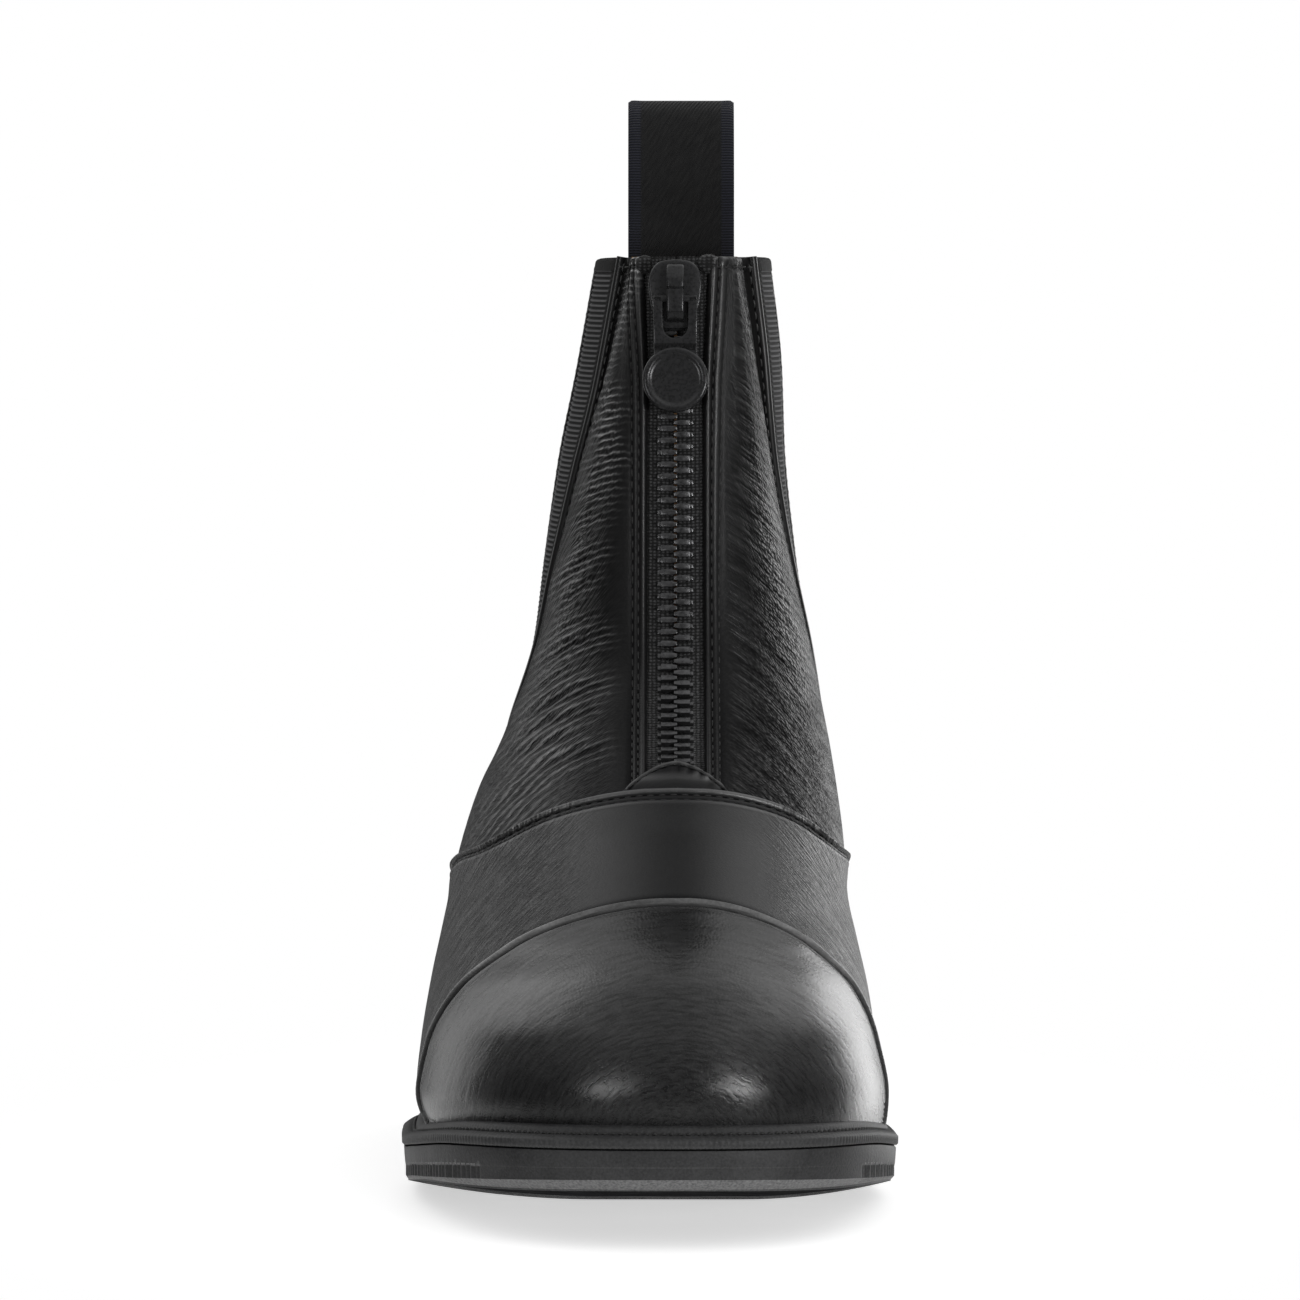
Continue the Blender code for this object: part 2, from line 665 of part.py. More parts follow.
def zip_height(distances):
    """Heights up the upper at distances along the zip from the foot of its slot."""
    v = np.linspace(0.55, 1.0, 400)
    line = front_grid(v, np.array([0.0]), 0.0)[:, 0]
    along = np.concatenate([[0], np.cumsum(np.linalg.norm(np.diff(line, axis=0), axis=1))])
    foot = np.interp(SLOT_FOOT_Z + 2.6, line[:, 2], along)
    return np.interp(foot + np.asarray(distances), along, v), np.interp(HINGE_Z - 1.0, line[:, 2], along) - foot


def build_teeth(name, side):
    start = 0.0 if side < 0 else TOOTH_PITCH / 2
    count = int((zip_height([0])[1] - start) / TOOTH_PITCH)
    marks = start + TOOTH_PITCH * np.arange(count)
    distances = np.stack([marks, marks + 1.4], -1).ravel()
    heights = zip_height(distances)[0]
    across = side * np.array([0.3, 1.9, 3.1])
    outer = front_grid(heights, across, -0.35)
    inner = front_grid(heights, across, -2.1)
    keep = np.ones((len(heights) - 1, 2), bool)
    keep[1::2, 0] = False
    sheet(name, outer, inner, METAL, keep)


def slider_frame():
    """Hinge point and the directions across, down along the zip and out."""
    v = np.linspace(0.8, 1.0, 200)
    line = front_grid(v, np.array([0.0]), 0.0)[:, 0]
    here = np.array([np.interp(HINGE_Z, line[:, 2], line[:, k]) for k in range(3)])
    low = np.array([np.interp(HINGE_Z - 12.0, line[:, 2], line[:, k]) for k in range(3)])
    down = low - here
    down[0] = 0.0
    down = down / np.linalg.norm(down)
    aside = np.array([1.0, 0.0, 0.0])
    return here, aside, down, np.cross(down, aside)


HINGE, ASIDE, DOWN, OUT = slider_frame()


def on_slider(points):
    points = np.asarray(points, float)
    return HINGE + points[:, :1] * ASIDE + points[:, 1:2] * DOWN + points[:, 2:] * OUT


def slider_prism(name, outline, axis, low, high, finish=None):
    """As prism, in the slider's frame."""
    count = len(outline)
    points = []
    for level in (low, high):
        for pair in outline:
            point = list(pair)
            point.insert(axis, level)
            points.append(point)
    faces = [range(count), range(count, 2 * count)]
    faces += [(i, (i + 1) % count, count + (i + 1) % count, count + i) for i in range(count)]
    return solid(name, on_slider(points), faces, finish)


def circle(a, d, radius, count):
    turn = np.arange(count) * 2 * math.pi / count
    return [(a + radius * math.cos(w), d + radius * math.sin(w)) for w in turn]


def build_slider():
    outline = [*SLIDER_OUTLINE] + [(-a, d) for a, d in SLIDER_OUTLINE[-2::-1]]
    made = slider_prism("zip_slider", outline, 2, SLIDER_LOW, SLIDER_HIGH, METAL)
    crown = slider_prism("slider crown", CROWN_OUTLINE, 0, -CROWN_HALF, CROWN_HALF)
    cut(made, crown, "UNION")
    cut(made, slider_prism("crown hole", CROWN_HOLE, 0, -4.0, 4.0), "DIFFERENCE")


def build_pull():
    low, high = PIVOT_OUT - BAR_HALF, PIVOT_OUT + BAR_HALF
    outline = [
        (-PULL_HALF, -BAR_HALF),
        (PULL_HALF, -BAR_HALF),
        (PULL_HALF - 0.2, DISC_DOWN),
        (-PULL_HALF + 0.2, DISC_DOWN),
    ]
    made = slider_prism("zip_pull", outline, 2, low, high, METAL)
    cut(made, slider_prism("pull disc", circle(0, DISC_DOWN, DISC_R, 32), 2, low - 0.1, high + 0.25), "UNION")
    window = [
        (-WINDOW_HALF, BAR_HALF),
        (WINDOW_HALF, BAR_HALF),
        (WINDOW_HALF - 0.3, WINDOW_END),
        (-WINDOW_HALF + 0.3, WINDOW_END),
    ]
    cut(made, slider_prism("pull window", window, 2, low - 2, high + 2), "DIFFERENCE")
    recess = circle(0, DISC_DOWN, DISC_RECESS_R, 32)
    cut(made, slider_prism("disc recess", recess, 2, high + 0.25 - DISC_RECESS, high + 2), "DIFFERENCE")


def build_loop():
    across = np.linspace(-LOOP_WIDE / 2, LOOP_WIDE / 2, 7)
    rows = np.linspace(0, 1, 29)
    share = np.arange(len(LOOP_ROWS)) / (len(LOOP_ROWS) - 1)
    path = {name: smooth(share, column(LOOP_ROWS, LOOP_COLUMNS, name), rows) for name in LOOP_COLUMNS}
    collar = TABLE["back_z"][-1]
    v = np.interp(np.minimum(path["z"], collar), TABLE["back_z"][11:], TABLE_V[11:])
    v_grid, dx = np.meshgrid(v, across, indexing="ij")
    wall = form(back_u(v_grid, dx), v_grid)
    middle = form(np.ones_like(v), v)
    wrap = path["wrap"][:, None]
    s = middle[:, 1:2] + (wall[..., 1] - middle[:, 1:2]) * wrap + path["off"][:, None]
    x = np.broadcast_to(TABLE["middle"][-1] + across, s.shape)
    line = np.stack([x, s, np.broadcast_to(path["z"][:, None], s.shape)], -1)
    along = np.gradient(line, axis=0)
    normal = np.stack([np.zeros_like(s), -along[..., 2], along[..., 1]], -1)
    normal = normal / np.linalg.norm(normal, axis=-1, keepdims=True)
    sheet("pull_loop", line + normal * LOOP_THICK / 2, line - normal * LOOP_THICK / 2, WEB)


build_outsole()
build_heel()
build_welt()
build_insole()
build_upper()
build_toe_cap()
build_vamp_edge()
build_zip_patch()
build_gore("gore_lateral", -90.0, 6.0)
build_gore("gore_medial", 6.0, 90.0)
build_tape("zip_tape_lateral", -1)
build_tape("zip_tape_medial", 1)
build_teeth("zip_teeth_lateral", -1)
build_teeth("zip_teeth_medial", 1)
build_slider()
build_pull()
build_loop()
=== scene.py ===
"""Looks of the front-zip riding boot: leather panels, ribbed gores, zip, welt, sole, light and camera.

Lengths are millimetres until a mesh is made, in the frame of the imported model. x runs from the outer side of
the foot (minus) to the inner side, s runs back along the sole from the toe tip, z runs up from the floor.
u goes round a section of the upper: 0 at the front, -1 and 1 at the back, minus on the outer side. v climbs
from the bottom edge (0) to the collar (1).
"""

import math

import bpy
import numpy as np
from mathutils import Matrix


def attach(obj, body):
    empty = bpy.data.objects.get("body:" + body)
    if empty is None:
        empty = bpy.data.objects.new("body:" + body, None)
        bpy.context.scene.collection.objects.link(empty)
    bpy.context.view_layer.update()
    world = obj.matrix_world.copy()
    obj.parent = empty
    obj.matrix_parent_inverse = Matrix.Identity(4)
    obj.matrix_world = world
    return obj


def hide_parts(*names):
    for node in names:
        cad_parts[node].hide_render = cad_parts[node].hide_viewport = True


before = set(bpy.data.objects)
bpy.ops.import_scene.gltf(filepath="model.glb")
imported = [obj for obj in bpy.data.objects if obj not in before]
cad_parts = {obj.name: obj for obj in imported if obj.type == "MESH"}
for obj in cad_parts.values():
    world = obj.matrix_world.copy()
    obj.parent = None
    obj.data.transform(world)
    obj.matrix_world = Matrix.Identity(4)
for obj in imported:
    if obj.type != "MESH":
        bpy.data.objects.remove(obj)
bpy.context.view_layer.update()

# Sizes shared with the solids
MM = 0.001
SOLE_LENGTH = 292.0
GAP = 0.3
WALL = 2.0
WELT_RISE = 4.8
ZIP_X = 5.8
SLOT_HALF = 6.4
SLOT_TOP_HALF = 8.0
SLOT_FOOT_Z = 88.0
TOOTH_PITCH = 2.6
HINGE_Z = 188.5
PIVOT_OUT = 2.4
FORE_AT = {-1: 0.36, 1: 0.29}
WAIST_AT = 0.58
HEEL_AT = 0.84
TAIL = 0.16

# Heights along the outsole: its upper rim, its wall's lower edge and the middle of its crowned tread
SOLE_COLUMNS = ("s", "rim", "edge", "tread")
SOLE_ROWS = (
    (0.0, 20.2, 14.0, 14.0),
    (30.0, 17.9, 10.6, 8.4),
    (60.0, 14.1, 7.2, 3.2),
    (88.0, 11.2, 3.8, 0.0),
    (118.0, 11.0, 2.2, 0.0),
    (150.0, 15.6, 7.2, 6.6),
    (178.0, 21.8, 14.0, 14.0),
    (204.0, 26.8, 19.4, 19.4),
    (245.0, 31.6, 24.4, 24.4),
    (292.0, 33.6, 26.4, 26.4),
)
TREAD_FLAT = 0.3

# Sections of the last, from the bottom edge to the collar
SECTION_COLUMNS = (
    "front", "front_z", "back", "back_z", "dip", "lateral", "medial",
    "lateral_waist", "medial_waist", "heel", "nose", "blunt", "middle",
)
SECTION_ROWS = (
    (7.4, 20.0, 283.5, 33.6, 1.00, 50.5, 41.3, 34.0, 27.0, 29.5, 1.00, 2.40, 6.0),
    (6.2, 24.5, 285.0, 38.1, 1.00, 53.0, 42.6, 36.0, 29.0, 31.2, 1.00, 2.40, 6.0),
    (5.2, 31.0, 287.0, 45.0, 0.95, 55.2, 43.2, 37.5, 31.0, 32.6, 1.00, 2.35, 6.0),
    (7.6, 40.5, 288.0, 52.0, 0.85, 54.2, 41.8, 38.3, 32.0, 33.4, 1.00, 2.25, 6.0),
    (16.0, 49.5, 288.0, 58.5, 0.70, 52.6, 40.4, 38.3, 32.4, 33.7, 1.05, 2.10, 6.0),
    (30.0, 56.0, 287.0, 65.0, 0.52, 51.0, 38.6, 38.0, 32.4, 33.6, 1.15, 2.00, 6.0),
    (50.0, 62.0, 285.5, 71.0, 0.35, 49.3, 37.0, 37.6, 32.4, 33.2, 1.20, 2.00, 6.0),
    (73.0, 69.8, 283.0, 77.5, 0.18, 47.0, 36.6, 37.0, 32.4, 32.6, 1.20, 2.00, 6.0),
    (95.0, 79.3, 279.5, 86.0, 0.06, 43.4, 35.4, 36.0, 32.2, 31.6, 1.15, 2.00, 6.0),
    (113.0, 88.7, 276.0, 94.0, 0.00, 38.8, 34.0, 34.6, 31.6, 30.6, 1.10, 2.00, 6.0),
    (127.0, 99.5, 272.0, 104.0, 0.00, 35.0, 32.0, 33.2, 30.8, 29.6, 1.05, 2.05, 6.0),
    (136.0, 111.0, 268.5, 116.0, 0.00, 32.0, 30.0, 31.2, 29.4, 28.2, 1.00, 2.10, 6.0),
    (140.0, 130.0, 265.5, 134.0, 0.00, 29.6, 26.8, 29.2, 27.0, 26.6, 1.00, 2.15, 6.0),
    (142.0, 150.0, 264.0, 152.0, 0.00, 26.4, 24.6, 26.6, 25.0, 25.0, 1.00, 2.20, 6.0),
    (144.0, 174.0, 262.5, 174.0, 0.00, 22.2, 23.2, 22.6, 23.6, 22.4, 1.00, 2.25, 6.5),
    (146.0, 198.0, 262.0, 197.0, 0.00, 19.0, 19.8, 19.4, 20.0, 19.4, 1.00, 2.30, 7.5),
)
SECTION_COUNT = len(SECTION_ROWS) - 1
FEATHER_V = 1.0 / SECTION_COUNT
PANEL_FOOT_V = 0.8 * FEATHER_V
RIM_SIZES = (0.0, 0.0, SOLE_LENGTH, 0.0, 1.0, 57.8, 45.8, 40.5, 33.6, 36.0, 1.0, 2.5, 6.0)
RIM_ROW = dict(zip(SECTION_COLUMNS, RIM_SIZES))
MIDDLE = RIM_ROW["middle"]

# Edges of a gore opening in side view
GORE_COLUMNS = ("z", "front", "rear")
GORE_ROWS = (
    (88.0, 185.0, 188.4),
    (91.0, 182.4, 190.6),
    (99.0, 178.4, 193.4),
    (112.0, 172.6, 197.4),
    (140.0, 163.4, 205.0),
    (171.0, 157.6, 211.0),
    (215.0, 156.0, 215.0),
)
SIDE_SEAM_FOOT = 192.0

# Path of the vamp's edge in side view, below the point where it crosses the front
VAMP_COLUMNS = ("s", "z")
VAMP_ROWS = (
    (103.6, 83.8),
    (109.0, 78.4),
    (114.0, 73.2),
    (122.0, 69.4),
    (138.0, 66.0),
    (154.0, 58.0),
    (166.0, 45.0),
    (174.0, 30.0),
    (177.0, 24.0),
)
CAP_REAR = 57.0
CAP_SWEEP = 12.0
CAP_HALF = 54.0
CAP_TALL = 46.0
CAP_REACH = 0.6

LOOP_COLUMNS = ("z", "off", "wrap")
LOOP_ROWS = (
    (182.0, -4.0, 1.0),
    (197.5, -4.0, 1.0),
    (206.0, -5.2, 0.6),
    (215.0, -6.4, 0.3),
    (225.0, -5.0, 0.1),
    (231.4, -2.4, 0.0),
    (233.2, 0.5, 0.0),
    (231.4, 3.4, 0.0),
    (225.0, 6.0, 0.1),
    (215.0, 6.6, 0.3),
    (206.0, 4.4, 0.6),
    (197.5, 1.5, 1.0),
    (182.0, 1.5, 1.0),
)
LOOP_WIDE = 24.5
LOOP_THICK = 1.6

# Ribs of the gores, and the height where the plain hem at the collar starts
RIB_PITCH = 1.1
HEM_Z = 194.6
SELVEDGE = 8.0
GORE_EDGE = (0.0, 1.5, 3.0, 4.0, 7.4, 8.0)

# Photograph's frame
IMAGE = 1300.0
FOCAL_PX = 7570.0
CAMERA_BACK = 1646.0
CAMERA_Z = 200.0
CAMERA_X = 0.3
CAMERA_PITCH = 3.05


def column(rows, names, name):
    return [row[names.index(name)] for row in rows]


def smooth(at, values, where):
    """Cubic through the points that never overshoots them."""
    at = np.asarray(at, float)
    values = np.asarray(values, float)
    step = np.diff(at)
    rise = np.diff(values) / step
    slope = np.zeros_like(values)
    slope[0] = rise[0]
    slope[-1] = rise[-1]
    before, after = rise[:-1], rise[1:]
    turning = before * after <= 0
    safe_before = np.where(turning, 1.0, before)
    safe_after = np.where(turning, 1.0, after)
    first = 2 * step[1:] + step[:-1]
    second = step[1:] + 2 * step[:-1]
    mean = (first + second) / (first / safe_before + second / safe_after)
    slope[1:-1] = np.where(turning, 0.0, mean)
    where = np.clip(np.asarray(where, float), at[0], at[-1])
    i = np.clip(np.searchsorted(at, where, side="right") - 1, 0, len(step) - 1)
    t = (where - at[i]) / step[i]
    flat = 3 * t**2 - 2 * t**3
    return (
        values[i] * (1 - flat)
        + values[i + 1] * flat
        + slope[i] * step[i] * (t**3 - 2 * t**2 + t)
        + slope[i + 1] * step[i] * (t**3 - t**2)
    )


def ease(share):
    share = np.clip(share, 0.0, 1.0)
    return share * share * (3 - 2 * share)


def bump_at(distance, centre, half):
    """A soft ridge of height 1 at a distance from an edge."""
    return np.exp(-(((distance - centre) / half) ** 2))


def unit(vectors):
    return vectors / np.linalg.norm(vectors, axis=-1, keepdims=True)


def lengths(points):
    """Distance along a line of points from its start."""
    return np.concatenate([[0], np.cumsum(np.linalg.norm(np.diff(points, axis=0), axis=1))])


def read_line(values, keys, where):
    """Rows of values read between the keys that rise along them."""
    return np.stack([np.interp(where, keys, values[:, k]) for k in range(values.shape[1])], -1)


HALVINGS = 44


def halved(over, low, high):
    """Halves the range between two arrays until the test changes over."""
    for _ in range(HALVINGS):
        mid = (low + high) / 2
        past = over(mid)
        high = np.where(past, mid, high)
        low = np.where(past, low, mid)
    return (low + high) / 2


# The last
def sole_z(name, s):
    return smooth(column(SOLE_ROWS, SOLE_COLUMNS, "s"), column(SOLE_ROWS, SOLE_COLUMNS, name), s)


def rim_z(s):
    return sole_z("rim", s)


def underside_z(s):
    return sole_z("tread", s)


def section_table():
    rows = [dict(zip(SECTION_COLUMNS, row)) for row in SECTION_ROWS]
    for row, lift in zip(rows, (GAP, WELT_RISE)):
        row["front_z"] = float(rim_z(row["front"])) + lift
        row["back_z"] = float(rim_z(row["back"])) + lift
    return {name: [row[name] for row in rows] for name in SECTION_COLUMNS}


TABLE = section_table()
TABLE_V = np.arange(SECTION_COUNT + 1) / SECTION_COUNT


def section(v):
    return {name: smooth(TABLE_V, TABLE[name], v) for name in SECTION_COLUMNS}


def half_width(row, t, side):
    outer = side < 0
    fore = np.where(outer, row["lateral"], row["medial"])
    waist = np.where(outer, row["lateral_waist"], row["medial_waist"])
    fore_at = np.where(outer, FORE_AT[-1], FORE_AT[1])
    wide = fore + (waist - fore) * ease((t - fore_at) / (WAIST_AT - fore_at))
    wide = wide + (row["heel"] - waist) * ease((t - WAIST_AT) / (HEEL_AT - WAIST_AT))
    nose = fore_at * row["nose"]
    front = np.clip(1 - t / nose, 0, 1) ** row["blunt"]
    tail = np.clip(1 - (1 - t) / TAIL, 0, 1) ** 2
    return wide * (1 - front) ** (1 / row["blunt"]) * np.sqrt(1 - tail)


def height_on(row, t):
    """Height of a section at share t from its front."""
    s = row["front"] + (row["back"] - row["front"]) * t
    ends = rim_z(row["front"]) * (1 - t) + rim_z(row["back"]) * t
    return row["front_z"] + (row["back_z"] - row["front_z"]) * t + row["dip"] * (rim_z(s) - ends)


def place_on(row, u):
    side = np.where(u < 0, -1.0, 1.0)
    t = (1 - np.cos(np.pi * np.abs(u))) / 2
    s = row["front"] + (row["back"] - row["front"]) * t
    return np.stack([row["middle"] + side * half_width(row, t, side), s, height_on(row, t)], -1)


def skin(u, v):
    u, v = np.broadcast_arrays(np.asarray(u, float), np.asarray(v, float))
    return place_on(section(v), (u + 1) % 2 - 1)


def outward(u, v):
    step = 0.004
    along = skin(u + step, v) - skin(u - step, v)
    up = skin(u, np.minimum(v + step, 1)) - skin(u, np.maximum(v - step, 0))
    return unit(np.cross(along, up))


def form(u, v, out=0.0):
    """The outer face of the upper, moved outwards by out."""
    u, v = np.broadcast_arrays(np.asarray(u, float), np.asarray(v, float))
    out = np.asarray(out, float)
    return skin(u, v) + outward(u, v) * (out[..., None] if out.ndim else out)


def front_u(v, dx):
    row = section(v)
    x = ZIP_X + dx - row["middle"]
    outer = x < 0
    fore = np.where(outer, row["lateral"], row["medial"])
    nose = np.where(outer, FORE_AT[-1], FORE_AT[1]) * row["nose"]
    share = np.clip(np.abs(x) / fore, 0, 1)
    t = nose * (1 - (1 - share ** row["blunt"]) ** (1 / row["blunt"]))
    return np.where(outer, -1.0, 1.0) * np.arccos(1 - 2 * t) / np.pi


def back_u(v, dx):
    row = section(v)
    share = np.clip(np.abs(dx) / row["heel"], 0, 1)
    t = 1 - TAIL * (1 - np.sqrt(1 - share**2))
    return np.where(dx < 0, -1.0, 1.0) * np.arccos(1 - 2 * t) / np.pi


def rim(u, out=0.0):
    """Plan of the outsole's rim, moved outwards by out, at the rim's height."""
    step = 0.002
    u = np.asarray(u, float)
    out = np.asarray(out, float)

    def at(w):
        return place_on(RIM_ROW, (w + 1) % 2 - 1)

    along = at(u + step) - at(u - step)
    normal = unit(np.stack([along[..., 1], -along[..., 0]], -1))
    plan = at(u)[..., :2] + normal * (out[..., None] if out.ndim else out)
    return np.concatenate([plan, rim_z(plan[..., 1])[..., None]], -1)


def tread_z(x, s):
    """Height of the tread, which is flat in its middle and curves up to the edge of the wall."""
    aside = x - MIDDLE
    across = np.abs(aside) / half_width(RIM_ROW, s / SOLE_LENGTH, np.sign(aside))
    crown = np.clip((across - TREAD_FLAT) / (1 - TREAD_FLAT), 0, 1) ** 2
    return underside_z(s) + crown * (sole_z("edge", s) - underside_z(s))


def share_to_u(t, side):
    return side * np.arccos(np.clip(1 - 2 * t, -1, 1)) / np.pi


def place_at(s, v, side):
    """The place on one side of the upper at s along the section at v."""
    row = section(np.array([v]))
    share = (s - row["front"]) / (row["back"] - row["front"])
    return np.stack([share_to_u(share, side), [v]], -1)


def front_v(z):
    """How far up the upper its front reaches a height, behind the cap."""
    return np.interp(z, TABLE["front_z"][5:], TABLE_V[5:])


def uv_from_side(s, z, side):
    """The place on one side of the upper seen at (s, z) in side view."""
    s, z = np.broadcast_arrays(np.asarray(s, float), np.asarray(z, float))

    def share(row):
        return np.clip((s - row["front"]) / (row["back"] - row["front"]), 0, 1)

    def too_high(v):
        row = section(v)
        return (height_on(row, share(row)) > z) | (row["front"] > s)

    v = halved(too_high, np.zeros(len(s)), np.ones(len(s)))
    return np.stack([share_to_u(share(section(v)), side), v], -1)


# Meshes
def to_world(points):
    points = np.asarray(points, float).reshape(-1, 3)
    return np.stack([points[:, 0], points[:, 1] - SOLE_LENGTH / 2, points[:, 2]], -1) * MM


def make_piece(name, points, faces, finish, slot, nodes=(), body="boot", sharp=50.0, **extra):
    """A piece of the boot from points in millimetres, on a body, with extra vectors for its finish."""
    mesh = bpy.data.meshes.new(name)
    mesh.from_pydata(to_world(points).tolist(), [], [tuple(int(i) for i in face) for face in faces])
    mesh.materials.append(finish)
    mesh.polygons.foreach_set("use_smooth", [True] * len(mesh.polygons))
    mesh.set_sharp_from_angle(angle=math.radians(sharp))
    for title, vectors in extra.items():
        layer = mesh.attributes.new(title, "FLOAT_VECTOR", "POINT")
        layer.data.foreach_set("vector", np.asarray(vectors, float).ravel())
    made = bpy.data.objects.new(name, mesh)
    bpy.context.scene.collection.objects.link(made)
    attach(made, body)
    if nodes:
        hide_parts(*nodes)
    return made


def grid_faces(rows, columns, start=0, around=False, flip=False):
    last = columns if around else columns - 1
    j, i = np.meshgrid(np.arange(rows - 1) * columns, np.arange(last), indexing="ij")
    n = (i + 1) % columns
    faces = np.stack([j + i, j + n, j + columns + n, j + columns + i], -1).reshape(-1, 4) + start
    return (faces[:, ::-1] if flip else faces).tolist()


def tube_faces(rows, columns):
    """Faces of a row of rings with both ends closed."""
    ends = [list(range(columns - 1, -1, -1)), list(range((rows - 1) * columns, rows * columns))]
    return grid_faces(rows, columns, around=True) + ends


def slab(outer, inner):
    """Points and faces of a closed sheet between two grids."""
    rows, columns = outer.shape[:2]
    back = rows * columns
    points = np.concatenate([outer.reshape(-1, 3), inner.reshape(-1, 3)])
    faces = grid_faces(rows, columns) + grid_faces(rows, columns, back, flip=True)
    border = [*range(columns)]
    border += [j * columns + columns - 1 for j in range(1, rows)]
    border += [(rows - 1) * columns + i for i in range(columns - 2, -1, -1)]
    border += [j * columns for j in range(rows - 2, 0, -1)]
    for p, q in zip(border, border[1:] + border[:1]):
        faces.append((q, p, back + p, back + q))
    return points, faces


def both_faces(vectors):
    """The vectors of a sheet's outer grid, given again for its inner one."""
    return np.concatenate([vectors.reshape(-1, 3)] * 2)


def ring_faces(levels, columns):
    """Faces of a ring of profiles that closes both ways."""
    faces = []
    for j in range(levels):
        n = (j + 1) % levels
        for i in range(columns):
            k = (i + 1) % columns
            faces.append((j * columns + i, j * columns + k, n * columns + k, n * columns + i))
    return faces


class Batch:
    """Collects closed shapes that become one piece."""

    def __init__(self):
        self.points = []
        self.faces = []
        self.count = 0

    def add(self, points, faces):
        points = np.asarray(points, float).reshape(-1, 3)
        self.points.append(points)
        self.faces += [[i + self.count for i in face] for face in faces]
        self.count += len(points)

    def make(self, name, finish, slot, nodes=(), body="boot", sharp=50.0):
        points = np.concatenate(self.points)
        return make_piece(name, points, self.faces, finish, slot, nodes, body, sharp)


# Finishes
def add_node(tree, kind, inputs=None, **settings):
    node = tree.nodes.new(kind)
    for name, value in settings.items():
        setattr(node, name, value)
    for name, value in (inputs or {}).items():
        if isinstance(value, bpy.types.NodeSocket):
            tree.links.new(value, node.inputs[name])
        else:
            node.inputs[name].default_value = value
    return node


def new_finish(name, roughness, metallic=0.0, specular=0.5):
    made = bpy.data.materials.new(name)
    made.use_nodes = True
    tree = made.node_tree
    shader = tree.nodes["Principled BSDF"]
    shader.inputs["Roughness"].default_value = roughness
    shader.inputs["Metallic"].default_value = metallic
    shader.inputs["Specular IOR Level"].default_value = specular
    return made, tree, shader


def object_place(tree):
    return add_node(tree, "ShaderNodeTexCoord").outputs["Object"]


def flow_place(tree):
    """The panel's own place in millimetres, along it and up it, and the depth of its relief, which shine
    paints as shade and highlight.
    """
    return add_node(tree, "ShaderNodeAttribute", attribute_name="flow").outputs["Vector"]


def turned(tree, place, angle, stretch):
    """The place turned by an angle in its plane and drawn out along the new first axis."""
    spin = (0.0, 0.0, math.radians(angle))
    inputs = {"Vector": place, "Rotation": spin, "Scale": (stretch, 1.0, 1.0)}
    return add_node(tree, "ShaderNodeMapping", inputs, vector_type="TEXTURE").outputs[0]


def ramp(tree, factor, stops):
    node = add_node(tree, "ShaderNodeValToRGB", {"Fac": factor})
    band = node.color_ramp
    while len(band.elements) < len(stops):
        band.elements.new(0.5)
    for element, (position, colour) in zip(band.elements, stops):
        element.position = position
        element.color = (*colour, 1.0) if len(colour) == 3 else (*colour * 3, 1.0)
    return node.outputs["Color"]


def noise(tree, place, scale, detail=3.0):
    inputs = {"Vector": place, "Scale": scale, "Detail": detail}
    return add_node(tree, "ShaderNodeTexNoise", inputs).outputs[0]


def pebbles(tree, place, scale):
    """Low domes side by side."""
    inputs = {"Vector": place, "Scale": scale, "Randomness": 0.95, "Smoothness": 0.3}
    node = add_node(tree, "ShaderNodeTexVoronoi", inputs, feature="SMOOTH_F1")
    return ramp(tree, node.outputs["Distance"], ((0.0, (1.0,)), (0.35, (0.62,)), (0.75, (0.0,))))


def relief(tree, shader, *layers):
    """Bumps laid one on another, each a height and its depth in millimetres."""
    normal = None
    for height, depth in layers:
        inputs = {"Height": height, "Distance": depth * MM, "Strength": 1.0}
        if normal is not None:
            inputs["Normal"] = normal
        normal = add_node(tree, "ShaderNodeBump", inputs).outputs[0]
    tree.links.new(normal, shader.inputs["Normal"])


def blended(tree, first, second, share, mode="MIX"):
    inputs = {"Fac": share, "Color1": first, "Color2": second}
    return add_node(tree, "ShaderNodeMixRGB", inputs, blend_type=mode).outputs[0]


def tint(tree, shader, factor, dark, light):
    colour = ramp(tree, factor, ((0.25, dark), (0.75, light)))
    tree.links.new(colour, shader.inputs["Base Color"])


def gloss(tree, shader, factor, low, high):
    tree.links.new(scaled(tree, factor, low, high), shader.inputs["Roughness"])


# Black of the leather, darker in the valleys of its relief as painted shade, and a lighter black for the tops,
# partly wear and partly painted sheen
BLACK = (0.0035, 0.0035, 0.0037)
WEAR_AND_SHEEN_BLACK = (0.010, 0.010, 0.0103)
DASH_SQUASH = 0.17


def scaled(tree, value, low, high):
    """A value between 0 and 1 moved to another range."""
    inputs = {"Value": value, "To Min": low, "To Max": high}
    return add_node(tree, "ShaderNodeMapRange", inputs).outputs[0]


def ranged(tree, value, low, high):
    """A value from another range moved to between 0 and 1."""
    inputs = {"Value": value, "From Min": low, "From Max": high}
    return add_node(tree, "ShaderNodeMapRange", inputs).outputs[0]


def maths(tree, operation, *values):
    return add_node(tree, "ShaderNodeMath", dict(enumerate(values)), operation=operation).outputs[0]


def product(tree, first, second):
    return maths(tree, "MULTIPLY", first, second)


def parts(tree, vector):
    return add_node(tree, "ShaderNodeSeparateXYZ", {"Vector": vector}).outputs


